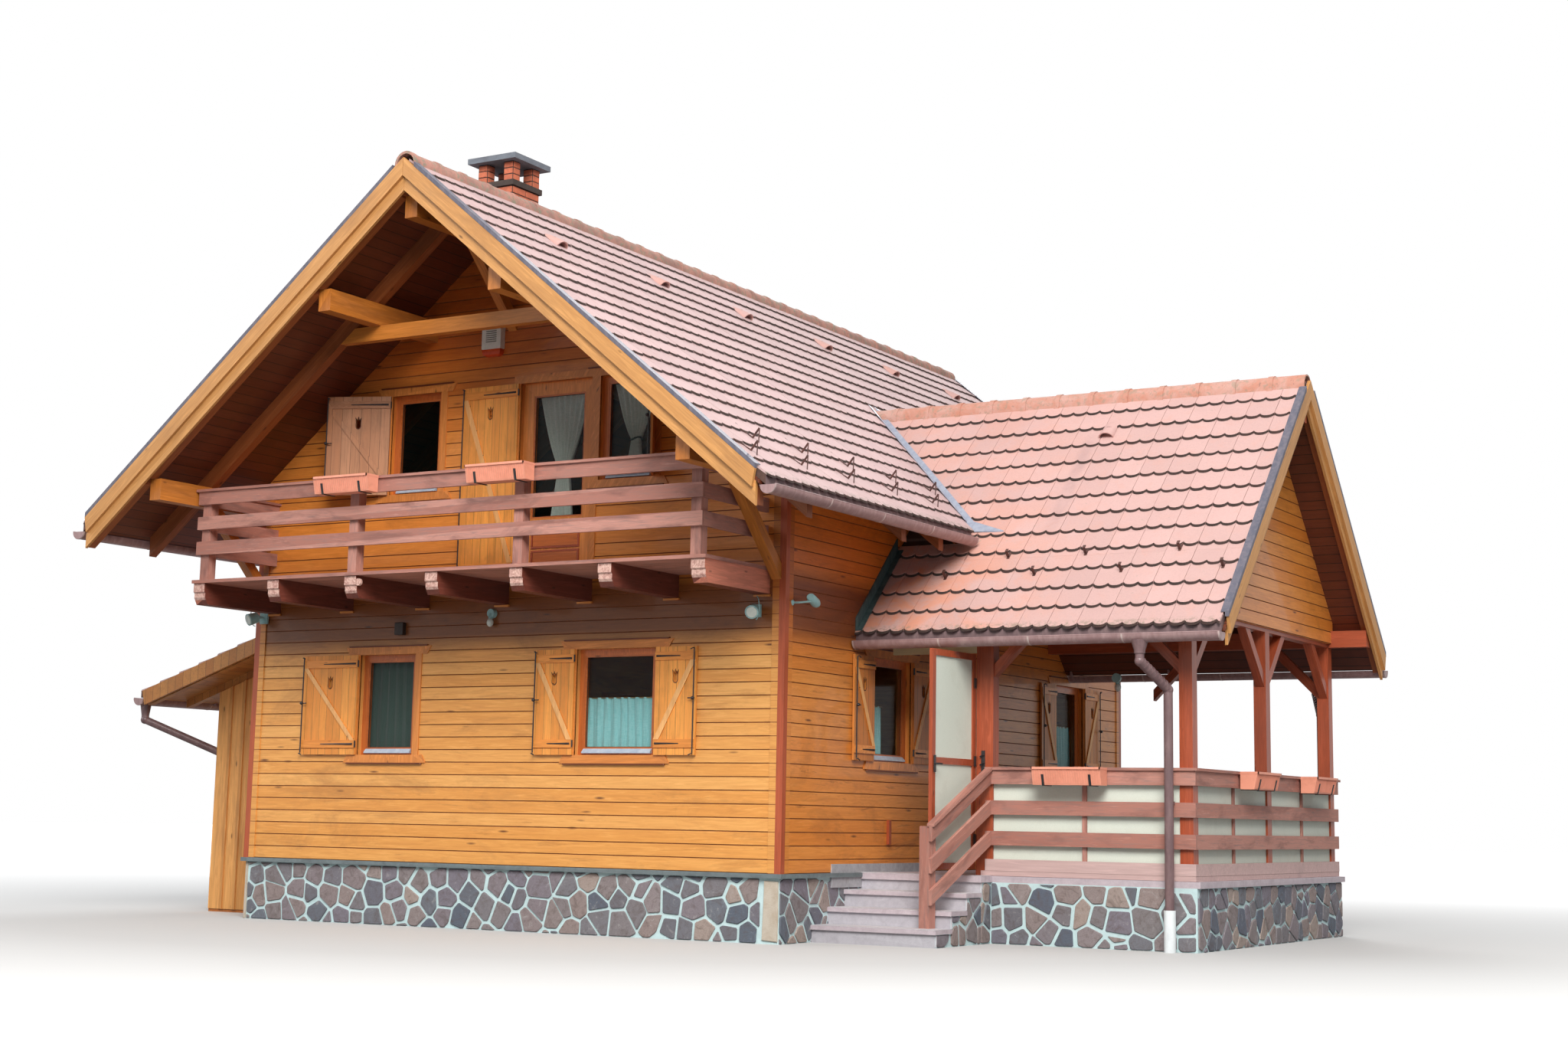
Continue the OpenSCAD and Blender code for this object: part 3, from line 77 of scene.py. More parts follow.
def tone(red, green, blue):
    """A colour as it looks, 0 to 255 a channel, turned into the light values that the shaders take."""
    def light(value):
        value /= 255
        return value / 12.92 if value <= 0.04045 else ((value + 0.055) / 1.055) ** 2.4
    return (light(red), light(green), light(blue))


def tint(colour, *factors, lift=0.0):
    """A colour times one factor, or one for each channel, lifted a little where asked, up to full white."""
    return tuple(min(1, c * f + lift) for c, f in zip(colour, factors * 3 if len(factors) == 1 else factors))


def length(label, description, default, low, high):
    """A setting in metres."""
    return bpy.props.FloatProperty(
        name=label, description=description, default=default, min=low, max=high, unit="LENGTH")


def colour(label, description, default):
    """A setting that holds a colour."""
    return bpy.props.FloatVectorProperty(
        name=label, description=description, default=default, min=0, max=1, subtype="COLOR")


class TileSettings(bpy.types.PropertyGroup):
    width: length("Tile Width", "Width of one tile with its two scallops", 0.305, 0.15, 0.5)
    thickness: length("Tile Thickness", "Thickness of a tile at its lower edge", 0.016, 0.008, 0.03)
    scallop: length("Scallop Depth", "How deep the scallops are cut", 0.042, 0.01, 0.08)
    main_colour: colour("Main Roof Colour", "Clay colour of the main roof", tone(190, 162, 161))
    porch_colour: colour("Porch Roof Colour", "Clay colour of the porch roof", tone(196, 160, 155))


class SidingSettings(bpy.types.PropertyGroup):
    board: length("Board Height", "Height of one siding board", 0.127, 0.08, 0.25)
    proud: length("Board Thickness", "How far the boards stand out of the wall", 0.012, 0.004, 0.02)
    colour: colour("Varnish Colour", "Colour of the varnished boards", tone(238, 176, 100))
    deep: colour("Side Wall Colour", "Colour of the darker boards on the side walls", tone(230, 150, 70))
    dark: colour("Red-Brown Colour", "Colour of the corner boards, posts and frames", tone(178, 84, 50))


class StoneSettings(bpy.types.PropertyGroup):
    size: length("Stone Size", "Usual distance between the middles of two stones", 0.228, 0.1, 0.5)
    joint: length("Joint Width", "Width of the mortar joints", 0.025, 0.008, 0.05)
    proud: length("Stone Relief", "How far the stones stand out of the mortar", 0.014, 0.004, 0.03)
    mortar: colour("Mortar Colour", "Colour of the mortar", tone(208, 234, 236))


class StageSettings(bpy.types.PropertyGroup):
    floor: colour("Floor Colour", "Colour of the studio floor", (0.54, 0.54, 0.535))
    sky: bpy.props.FloatProperty(
        name="Soft Light", description="Strength of the light from above", default=0.52, min=0, max=3)
    key: bpy.props.FloatProperty(
        name="Key Light", description="Strength of the light from the front", default=2.9, min=0, max=10)


class Nodes:
    """A node tree in the making."""

    def __init__(self, tree):
        self.tree = tree

    def feed(self, socket, value):
        """Links a socket to another, or sets its value; a colour may be given without its fourth channel."""
        if isinstance(value, bpy.types.NodeSocket):
            self.tree.links.new(value, socket)
        elif isinstance(value, tuple) and len(value) < len(socket.default_value):
            socket.default_value = (*value, 1.0)
        else:
            socket.default_value = value

    def node(self, kind, inputs, output=0, **settings):
        """One new node with its inputs by name or place. Returns the output that is asked for."""
        made = self.tree.nodes.new("ShaderNode" + kind)
        for key, value in settings.items():
            setattr(made, key, value)
        for key, value in inputs.items():
            self.feed(made.inputs[key], value)
        return made.outputs[output] if made.outputs else None

    def work_out(self, operation, first, second=0.0):
        return self.node("Math", {0: first, 1: second}, operation=operation)

    def product(self, first, *others):
        for other in others:
            first = self.work_out("MULTIPLY", first, other)
        return first

    def ramp(self, factor, low, high, start=0.0, end=1.0):
        """A number that runs from low to high as the factor goes from start to end."""
        limits = {"From Min": start, "From Max": end, "To Min": low, "To Max": high}
        return self.node("MapRange", {"Value": factor, **limits}, "Result")

    def mix(self, factor, first, second, blend="MIX"):
        return self.node("Mix", {0: factor, 6: first, 7: second}, 2, data_type="RGBA", blend_type=blend)

    def layers(self, base, *rows):
        """Lays colours over a base. A row is a source, the shares that the colour has as the source goes from
        start to end, start and end, the colour, and how it blends where it isn't plain."""
        for source, low, high, start, end, colour, *blend in rows:
            base = self.mix(self.ramp(source, low, high, start, end), base, colour, *blend)
        return base


class Finish(Nodes):
    """A material in the making, with its shader and the textures that a finish needs."""

    def __init__(self, name, roughness, coat=0.0, **inputs):
        self.material = bpy.data.materials.new(name)
        self.material.use_nodes = True
        super().__init__(self.material.node_tree)
        self.shader = self.tree.nodes["Principled BSDF"]
        for key, value in {"Roughness": roughness, "Coat Weight": coat, **inputs}.items():
            self.shader.inputs[key].default_value = value

    def coords(self, scale=(1, 1, 1), turn=(0, 0, 0)):
        """The place on the object in metres, turned where a turn is given, and scaled."""
        place = self.node("TexCoord", {}, "Object")
        if any(turn):
            place = self.node("Mapping", {"Vector": place, "Rotation": turn})
        return self.node("Mapping", {"Vector": place, "Scale": scale})

    def board_coords(self, reach, scale, turn):
        """Coords that start elsewhere for each board, so that no two boards have the same grain."""
        spread = self.node("CombineXYZ", {axis: self.product(self.per_board(), reach) for axis in "XYZ"})
        return self.node("VectorMath", {0: self.coords(scale, turn), 1: spread}, operation="ADD")

    def noise(self, scale, detail, rough, distortion=0.0, stretched=(1, 1, 1), turn=(0, 0, 0), place=None):
        place = place or self.coords(stretched, turn)
        return self.node("TexNoise", {"Vector": place, "Scale": scale, "Detail": detail, "Roughness": rough,
                                      "Distortion": distortion}, "Fac")

    def knots(self, stretched, turn):
        return self.node("TexVoronoi", {"Vector": self.coords(stretched, turn), "Scale": 1.0}, "Distance")

    def axis(self, name):
        """One coordinate of the place on the object, in metres."""
        return self.node("SeparateXYZ", {0: self.coords()}, name)

    def band(self, axis, low, high, soft):
        """1 between two places along an axis, fading to 0 over a soft edge on both sides."""
        place = self.axis(axis)
        return self.product(self.ramp(place, 0.0, 1.0, low - soft, low),
                            self.ramp(place, 1.0, 0.0, high, high + soft))

    def joints(self, axis, pitch, width, shift=0.0):
        """1 in the joints that repeat along an axis, 0 between them."""
        moved = self.work_out("ADD", self.axis(axis), shift + 100 * pitch)
        return self.work_out("LESS_THAN", self.work_out("MODULO", moved, pitch), width)

    def per_board(self):
        """A number from 0 to 1 that differs from one loose board, tile or stone to the next."""
        return self.node("NewGeometry", {}, "Random Per Island")

    def toss(self, number):
        """A random number from 0 to 1 that is the same for the same number."""
        return self.node("TexWhiteNoise", {"W": number}, "Value", noise_dimensions="1D")

    def done(self, colour, relief, strength, depth):
        """The material, once its shader has a colour and a relief."""
        self.feed(self.shader.inputs["Base Color"], colour)
        bump = self.node("Bump", {"Strength": strength, "Distance": depth, "Height": relief}, "Normal")
        self.feed(self.shader.inputs["Normal"], bump)
        return self.material


def stretch(along, lengthways=1.1, across=17.0):
    """Scales for a grain that runs along x, y or z."""
    return tuple(lengthways if axis == along else across for axis in "xyz")


def wood(name, colour, along, dark, patches, vary, gloss, turn=(0, 0, 0)):
    """Planed wood with grain, knots, weathered patches and a shade of its own for each board."""
    made = Finish(name, gloss, 0.12 if gloss < 0.5 else 0.0)
    place = made.board_coords(37.0, stretch(along), turn)
    fibre = made.noise(2.2, 7, 0.62, 0.9, place=place)
    wide = made.noise(1.6, 4, 0.6, 0.4, stretch(along, 0.5, 2.2), turn)
    deep = tint(colour, *dark)
    base = made.layers(colour, (fibre, 0.0, 0.5, 0.42, 0.72, deep))
    base = made.layers(base, (made.per_board(), 0.0, 1.0, 0.0, 1.0, made.mix(vary * 2, base, deep)),
                       (fibre, 0.45, 0.0, 0.30, 0.46, tint(colour, 1.22, lift=0.02)),
                       (made.knots(stretch(along, 2.6, 7.5), turn), 0.85, 0.0, 0.035, 0.11, tint(deep, 0.35)),
                       (wide, 0.0, patches, 0.52, 0.72, tint(deep, 0.55, lift=0.02)))
    return made.done(base, fibre, 0.25, 0.002)


def oblong(a0, a1, b0, b1):
    """The corners of a rectangle, from its lower left and around it."""
    return [(a0, b0), (a1, b0), (a1, b1), (a0, b1)]


class Maker:
    """Collects corners and faces of many small solids for one piece."""

    def __init__(self):
        self.corners = []
        self.faces = []
        self.marks = []

    def face(self, corners, mark=0):
        self.faces.append(corners)
        self.marks.append(mark)

    def skin(self, rings, mark=0, sides=None, order="sides low high", low_mark=None, around=False):
        """Faces between rings with as many corners each, and over both ends. Sides is a mark of its own, or a
        function that gives one from ring and corner. Around joins the last ring to the first one."""
        start, count = len(self.corners), len(rings[0])
        for ring in rings:
            self.corners += ring
        last = start + (len(rings) - 1) * count
        for part in order.split():
            if part == "low":
                self.face([start + i for i in reversed(range(count))], mark if low_mark is None else low_mark)
            elif part == "high":
                self.face([last + i for i in range(count)], mark)
            else:
                for r in range(len(rings) if around else len(rings) - 1):
                    here, above = start + r * count, start + (r + 1) % len(rings) * count
                    for i in range(count):
                        j = (i + 1) % count
                        side = sides(r, i) if callable(sides) else mark if sides is None else sides
                        self.face([here + i, here + j, above + j, above + i], side)

    def solid(self, low_ring, high_ring, mark=0):
        """A solid between two rings."""
        self.skin([low_ring, high_ring], mark, order="low high sides")

    def sweep(self, place, profile, stations, mark=0):
        """A solid with one profile at two stations. Place takes a station and a corner's two measures."""
        self.solid(*([place(at, u, v) for u, v in profile] for at in stations), mark)

    def plug(self, place, outline, heights, mark=0):
        """A plain solid on a face, with one outline at two or more heights."""
        self.skin([[place(a, b, h) for a, b in outline] for h in heights], mark)

    def box(self, x0, x1, y0, y1, z0, z1, mark, edge):
        """A box with its upper and lower edges broken."""
        self.skin([[(x, y, z) for x, y in oblong(x0 + inset, x1 - inset, y0 + inset, y1 - inset)]
                   for z, inset in ((z0, edge), (z0 + edge, 0), (z1 - edge, 0), (z1, edge))], mark)

    def tube(self, points, radius, sides=10, mark=0):
        """A round bar along points, with a radius for each point where a list is given."""
        points = [Vector(p) for p in points]
        rings = []
        side = None
        for i, point in enumerate(points):
            ahead = (points[min(i + 1, len(points) - 1)] - points[max(i - 1, 0)]).normalized()
            if side is None:
                side = ahead.cross(UP)
                if side.length < 0.1:
                    side = ahead.cross(ALONG)
            side = (side - ahead * side.dot(ahead)).normalized()
            up = ahead.cross(side)
            r = radius[i] if isinstance(radius, list) else radius
            rings.append([tuple(point + side * (r * math.cos(t)) + up * (r * math.sin(t)))
                          for t in (math.tau * k / sides for k in range(sides))])
        self.skin(rings, mark)

    def lump(self, centre, size, detail=2):
        """A rounded lump of three radii."""
        ball = bmesh.new()
        bmesh.ops.create_icosphere(ball, subdivisions=detail, radius=1.0)
        start = len(self.corners)
        self.corners += [tuple(c + p * r for c, p, r in zip(centre, corner.co, size))
                         for corner in ball.verts]
        for face in ball.faces:
            self.face([start + v.index for v in face.verts])
        ball.free()

    def piece(self, name, finishes, slot, grain=None, body="house", smooth=False, sharpen=True):
        """Turns what was collected into a piece that rides on a body. Y goes from the front to mid length."""
        if not self.faces:
            raise RuntimeError("nothing was made for " + name)
        mesh = bpy.data.meshes.new(name)
        mesh.from_pydata([(x, y - MID, z) for x, y, z in self.corners], [], self.faces)
        for finish in finishes:
            mesh.materials.append(ready(finish, grain))
        mesh.polygons.foreach_set("material_index", self.marks)
        mesh.polygons.foreach_set("use_smooth", [smooth] * len(self.faces))
        mesh.update()
        made = bpy.data.objects.new(name, mesh)
        bpy.context.scene.collection.objects.link(made)
        if smooth and sharpen:
            mesh.set_sharp_from_angle(angle=math.radians(38))
        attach(made, body)
        return made


def clip(outline, a, b, c):
    """The part of a flat outline where a*u + b*v + c is positive."""
    kept = []
    for i, (u, v) in enumerate(outline):
        p, q = outline[i - 1]
        here, before = a * u + b * v + c, a * p + b * q + c
        if (here > 0) != (before > 0):
            t = before / (before - here)
            kept.append((p + (u - p) * t, q + (v - q) * t))
        if here > 0:
            kept.append((u, v))
    return kept


def area(outline):
    return 0.5 * sum(outline[i - 1][0] * outline[i][1] - outline[i][0] * outline[i - 1][1]
                     for i in range(len(outline)))


def paint(finish, *nodes):
    """Gives CAD nodes a finish over all their faces."""
    for name in nodes:
        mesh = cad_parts[name].data
        mesh.materials.clear()
        mesh.materials.append(ready(finish))
        mesh.polygons.foreach_set("material_index", [0] * len(mesh.polygons))


def paint_faces(node, finishes, choose):
    """Gives each face of a CAD node the finish that choose(centre, normal) names by its place in the list."""
    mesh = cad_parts[node].data
    mesh.materials.clear()
    for finish in finishes:
        mesh.materials.append(ready(finish))
    for face in mesh.polygons:
        face.material_index = choose(face.center, face.normal)


def repaint(node, finish, low, high):
    """Gives another finish to the faces of a CAD node whose middle lies in a box."""
    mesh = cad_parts[node].data
    mesh.materials.append(ready(finish))
    for face in mesh.polygons:
        middle = face.center + Vector((0, MID, 0))
        if all(a < b < c for a, b, c in zip(low, middle, high)):
            face.material_index = len(mesh.materials) - 1


GRAINS = []


def grain_turn(direction):
    """The turn that lays a member's length along x, kept once for members that run alike."""
    for known, turn, place in GRAINS:
        if abs(known.dot(direction)) > 0.999:
            return turn, place
    turn = tuple(direction.rotation_difference(ALONG).to_euler("XYZ"))
    GRAINS.append((direction.copy(), turn, len(GRAINS)))
    return turn, len(GRAINS) - 1


def members(mesh):
    """The loose solids of a mesh: for each one, its faces and the direction of its length."""
    root = list(range(len(mesh.vertices)))

    def top(i):
        while root[i] != i:
            root[i] = root[root[i]]
            i = root[i]
        return i

    for edge in mesh.edges:
        a, b = top(edge.vertices[0]), top(edge.vertices[1])
        if a != b:
            root[a] = b
    solids = {}
    for face in mesh.polygons:
        solids.setdefault(top(face.vertices[0]), []).append(face)
    for faces in solids.values():
        corners = [mesh.vertices[i].co for i in {i for face in faces for i in face.vertices}]
        middle = sum(corners, Vector()) / len(corners)
        direction = Vector((0.31, 0.42, 0.53))
        for _ in range(24):
            direction = sum(((c - middle) * (c - middle).dot(direction) for c in corners),
                            Vector()).normalized()
        yield faces, direction


def paint_grain(finish, *nodes):
    """Gives each member of CAD nodes a wood finish whose grain runs along it."""
    for node in nodes:
        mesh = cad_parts[node].data
        mesh.materials.clear()
        for faces, direction in members(mesh):
            made = ready(finish, direction)
            if made.name not in mesh.materials:
                mesh.materials.append(made)
            for face in faces:
                face.material_index = mesh.materials.find(made.name)


def varnished_siding(name, colour, smudges, streaks, turn):
    """Honey varnish over spruce boards, with grey smudges and brown streaks where the weather got in, painted
    shade from the balcony's height up and in the gable, and painted shadow just under the balcony deck.
    """
    made = Finish(name, 0.42, 0.15)
    fibre = made.noise(2.0, 8, 0.65, 1.2, place=made.board_coords(53.0, stretch("x"), turn))
    patchy = made.noise(1.5, 6, 0.7, 0.8, stretch("x", 0.55, 1.7), turn)
    worn = made.noise(1.6, 7, 0.72, 0.6, stretch("x", 0.8, 9.0), turn)
    height = made.axis("Z")
    base = made.layers(
            made.mix(made.per_board(), colour, tint(colour, 0.90, 0.76, 0.56)),
            (fibre, 0.0, 0.55, 0.44, 0.74, tint(colour, 0.66, 0.46, 0.30)),
            (fibre, 0.5, 0.0, 0.28, 0.45, tint(colour, 1.10, lift=0.03)),
            (patchy, 0.0, smudges, 0.52, 0.74, tint(colour, 0.46, 0.38, 0.34)),
            (worn, 0.0, streaks, 0.58, 0.70, tint(colour, 0.26, 0.16, 0.12)),
            (made.knots(stretch("x", 1.3, 6.5), turn), 0.9, 0.0, 0.03, 0.10, tone(92, 46, 20)),
            # Painted shade: the boards darken from the balcony's height up, partly as the deeper tone of
            # sheltered wood, and much more towards the gable's peak
            (height, 0.0, 1.0, *UPPER_PAINTED_SHADE, (0.94, 0.70, 0.45), "MULTIPLY"),
            (height, 0.0, 1.0, *GABLE_PAINTED_SHADE, (0.62, 0.40, 0.26), "MULTIPLY"))
    # Painted shadow: a dark band on the front of the walls just under the balcony deck, where the deck casts
    # its shadow
    balcony_painted_shadow = made.product(made.band("Z", 2.96, 3.36, 0.2),
                                 made.ramp(made.axis("Y"), 0.85, 0.0, -2.4, -1.4))
    return made.done(made.mix(balcony_painted_shadow, base, (0.15, 0.08, 0.05), "MULTIPLY"), fibre, 0.3, 0.002)


def corner_wood(name, board, dark, front, side):
    """Red-brown stain along the outer edge of a corner board, and the wall's varnish on the rest of it, with
    the same painted shade from the balcony's height up.
    """
    made = Finish(name, 0.42, 0.12)
    upright = made.noise(2.2, 7, 0.62, 0.9, stretch("z"))
    level = made.noise(2.0, 8, 0.65, 1.2, (1.1, 1.1, 17.0))
    across, along = (made.work_out("ABSOLUTE", made.axis(axis)) for axis in "XY")
    honey = made.mix(made.work_out("GREATER_THAN", across, HALF_W + 0.022), front, side)
    honey = made.mix(0.5, honey, (0.80, 0.66, 0.46), "MULTIPLY")
    honey = made.layers(honey, (level, 0.0, 0.55, 0.44, 0.74, (0.60, 0.40, 0.24), "MULTIPLY"),
                        # Painted shade from the balcony's height up, as on the siding
                        (made.axis("Z"), 0.0, 1.0, *UPPER_PAINTED_SHADE, (0.66, 0.46, 0.30), "MULTIPLY"))
    honey = made.mix(made.joints("Z", board, 0.007, 0.0035 - SIDING_FOOT), honey, tone(126, 68, 28))
    red = made.layers(dark, (upright, 0.0, 0.6, 0.42, 0.72, tint(dark, 0.45)))
    outer = made.product(made.work_out("GREATER_THAN", across, HALF_W - 0.046),
                         made.work_out("GREATER_THAN", along, LENGTH / 2 - 0.046))
    return made.done(made.mix(outer, honey, red), upright, 0.25, 0.002)


def worn_rail(name, turn):
    """Wine-red stain gone pink and grey on the rails."""
    made = Finish(name, 0.72)
    fibre = made.noise(2.4, 8, 0.68, 0.8, stretch("x", 1.43, 22.1), turn)
    wide = made.noise(1.3, 5, 0.6, 0.5, stretch("x", 1.4, 5.0), turn)
    base = made.layers(made.mix(made.per_board(), tone(190, 136, 122), tone(166, 110, 96)),
                       (fibre, 0.0, 0.8, 0.50, 0.68, tone(142, 116, 110)),
                       (fibre, 0.8, 0.0, 0.26, 0.42, tone(210, 164, 150)),
                       (wide, 0.0, 0.7, 0.50, 0.66, tone(128, 88, 80)))
    return made.done(base, fibre, 0.45, 0.003)


def cut_end(name):
    """Pale pinkish end grain, rough where the paint has worn."""
    made = Finish(name, 0.85)
    rings = made.noise(3.0, 8, 0.7, 1.5, (7, 7, 7))
    base = made.layers(tone(222, 186, 172), (rings, 0.0, 1.0, 0.42, 0.60, tone(176, 128, 118)),
                       (rings, 0.7, 0.0, 0.26, 0.40, tone(126, 84, 78)))
    return made.done(base, rings, 0.5, 0.004)


def boarded(name, colour, along, across, pitch, gap):
    """Wood with a grain along one axis and dark joints that repeat across another."""
    made = Finish(name, 0.5, 0.1)
    fibre = made.noise(2.2, 7, 0.62, 0.9, stretch(along))
    wide = made.noise(1.5, 5, 0.6, 0.5, (1.6, 1.6, 1.6))
    place = made.work_out("ADD", made.axis(across.upper()), 100 * pitch)
    board = made.work_out("FLOOR", made.work_out("DIVIDE", place, pitch))
    gaps = made.joints(across.upper(), pitch, gap)
    base = made.layers(made.mix(made.toss(board), colour, tint(colour, 0.80, 0.68, 0.58)),
                       (fibre, 0.0, 0.6, 0.44, 0.72, tint(colour, 0.5)),
                       (wide, 0.0, 0.45, 0.50, 0.70, tint(colour, 0.45)))
    relief = made.work_out("SUBTRACT", fibre, made.product(gaps, 2.0))
    return made.done(made.mix(gaps, base, tint(colour, 0.12)), relief, 0.4, 0.003)


def clay(name, colour, pale, stain, weather):
    """Fired clay with a tone of its own for each tile, mottling, stains and a little lichen."""
    made = Finish(name, 0.82)
    fine = made.noise(55.0, 6, 0.7)
    base = made.layers(made.mix(made.per_board(), colour, pale),
                       (fine, 0.0, 0.28, 0.45, 0.68, tint(colour, 0.72)),
                       (made.noise(5.5, 6, 0.7, 0.4), 0.0, 0.5, 0.52, 0.78, stain),
                       (made.noise(0.55, 5, 0.65, 0.6), 0.0, 0.45, 0.50, 0.72, tint(pale, 0.80)))
    lichen = made.noise(21.0, 4, 0.6, 0.3)
    base = made.layers(weather(made, base), (lichen, 0.0, 0.55, 0.66, 0.74, tone(150, 150, 132)))
    return made.done(base, fine, 0.35, 0.002)


def eaves_moss(made, base, low, high, colour):
    """Moss on the tiles along the eaves, between two heights."""
    moss = made.ramp(made.noise(26.0, 5, 0.65, 0.4), 0.0, 1.0, 0.46, 0.60)
    return made.mix(made.product(moss, made.band("Z", low, high, 0.04), 0.6), base, colour)


def main_weather(made, base):
    return eaves_moss(made, base, 4.0, 4.11, tone(118, 112, 100))


def porch_weather(made, base):
    """Orange tiles by the wall, a soot streak below the vent, and moss along the eaves."""
    cloud = made.noise(2.2, 5, 0.65, 0.5)
    by_wall = made.ramp(made.axis("X"), 1.0, 0.0, 3.7, 5.6)
    orange = made.product(by_wall, made.ramp(made.axis("Z"), 1.0, 0.25, 3.5, 4.6),
                          made.ramp(cloud, 0.1, 1.0, 0.40, 0.58), 0.85)
    soot = made.product(made.band("X", 4.95, 5.01, 0.07), made.band("Z", 4.2, 5.0, 0.25),
                        made.ramp(cloud, 0.2, 1.0, 0.35, 0.60), 0.45)
    base = made.mix(soot, made.mix(orange, base, tone(218, 144, 112)), tone(156, 130, 130))
    return eaves_moss(made, base, 2.9, 3.02, tone(130, 122, 104))


def ridge_clay(name):
    """Ridge tiles: mossy and brown on the main roof, cleaner and pinker over the porch."""
    made = Finish(name, 0.85)
    fine = made.noise(16.0, 8, 0.72, 0.3)
    patchy = made.ramp(made.noise(4.5, 6, 0.7, 0.5), 0.0, 1.0, 0.40, 0.62)
    high = made.ramp(made.axis("Z"), 0.0, 1.0, 6.2, 6.6)
    main = made.mix(patchy, tone(182, 134, 120), tone(150, 116, 106))
    porch = made.mix(patchy, tone(196, 154, 142), tone(190, 132, 112))
    moss = made.product(made.ramp(fine, 0.0, 0.85, 0.52, 0.60), made.ramp(high, 0.55, 1.0))
    base = made.mix(moss, made.mix(high, porch, main), tone(132, 134, 116))
    return made.done(made.layers(base, (fine, 0.6, 0.0, 0.30, 0.40, tone(104, 88, 80))), fine, 0.5, 0.004)


def metal(name, colour, worn, roughness=0.45):
    """Painted sheet metal with chalky wear and faint streaks."""
    made = Finish(name, roughness, 0.1)
    streak = made.noise(3.0, 6, 0.6, 0.3, (6, 6, 1.2))
    fine = made.noise(42.0, 5, 0.65)
    base = made.layers(colour, (streak, 0.0, 0.7, 0.42, 0.68, worn),
                       (fine, 0.0, 0.35, 0.56, 0.74, tint(colour, 0.55)))
    return made.done(base, fine, 0.12, 0.001)


def stones(name):
    """Field stones: a grey, brown or plum tone for each stone, with veins and grit."""
    made = Finish(name, 0.8)
    shade = made.per_board()
    vein = made.noise(9.0, 8, 0.7, 1.4)
    grit = made.noise(70.0, 5, 0.7)
    base = made.layers(
            tone(106, 112, 122), (shade, 0.0, 1.0, 0.0, 0.5, tone(148, 132, 128)),
            (shade, 0.0, 1.0, 0.5, 0.72, tone(124, 118, 128)),
            (shade, 0.0, 0.8, 0.80, 0.92, tone(170, 152, 140)),
            (made.toss(made.product(shade, 91.0)), 0.0, 0.8, 0.62, 0.95, tone(78, 92, 108)),
            (vein, 0.0, 0.55, 0.50, 0.66, tone(92, 76, 70)),
            (vein, 0.6, 0.0, 0.30, 0.42, tone(176, 172, 168)),
            (grit, 0.0, 0.3, 0.50, 0.70, tone(70, 66, 66)))
    return made.done(base, made.work_out("ADD", vein, grit), 0.55, 0.006)


def mineral(name, colour, other, scale=6.0, rough=0.85, relief=0.004):
    """Plain mineral stuff: mortar, concrete, brick, ledge stone or floor stone."""
    made = Finish(name, rough)
    wide = made.noise(scale, 7, 0.68, 0.5)
    grit = made.noise(90.0, 4, 0.7)
    base = made.layers(colour, (made.per_board(), 0.0, 0.5, 0.0, 1.0, other),
                       (wide, 0.0, 0.8, 0.42, 0.68, other),
                       (grit, 0.0, 0.25, 0.52, 0.72, tint(colour, 0.55)))
    return made.done(base, made.work_out("ADD", wide, grit), 0.4, relief)


def plastic(name, colour, other, roughness):
    """Moulded plastic or enamel with a little dust."""
    made = Finish(name, roughness)
    base = made.layers(colour, (made.noise(7.0, 6, 0.65, 0.4), 0.0, 0.6, 0.45, 0.72, other))
    return made.done(base, made.noise(60.0, 4, 0.6), 0.1, 0.0006)


def pane_glass(name):
    """Window glass: a dark, glossy pane that lets what hangs behind it show."""
    made = Finish(name, 0.04, Alpha=0.14, IOR=1.52)
    wide = made.noise(2.2, 4, 0.6)
    return made.done(made.layers(tone(16, 26, 22), (wide, 0.0, 0.5, 0.4, 0.7, tone(30, 42, 36))), wide, 0.05,
                     0.002)


def curtain_cloth(name, colour, fold):
    """Thin cotton with a fine weave."""
    made = Finish(name, 0.9, **{"Sheen Weight": 0.3})
    warp = made.noise(1.0, 2, 0.5, stretched=(260, 260, 14))
    weave = made.work_out("ADD", warp, made.noise(1.0, 2, 0.5, stretched=(14, 14, 260)))
    return made.done(made.layers(colour, (weave, 0.0, 0.5, 0.8, 1.2, fold)), weave, 0.2, 0.0008)


def screen_weave(name):
    """Fly screen: a pale open weave that the porch shows through."""
    made = Finish(name, 0.7, Alpha=0.93)
    fine = made.noise(1.0, 2, 0.5, stretched=(220, 220, 220))
    dust = made.noise(3.0, 6, 0.7, 0.4)
    base = made.layers(tone(224, 232, 220), (fine, 0.0, 0.3, 0.4, 0.6, tone(202, 210, 198)),
                       (dust, 0.0, 0.3, 0.52, 0.76, tone(190, 192, 176)))
    return made.done(base, fine, 0.2, 0.001)


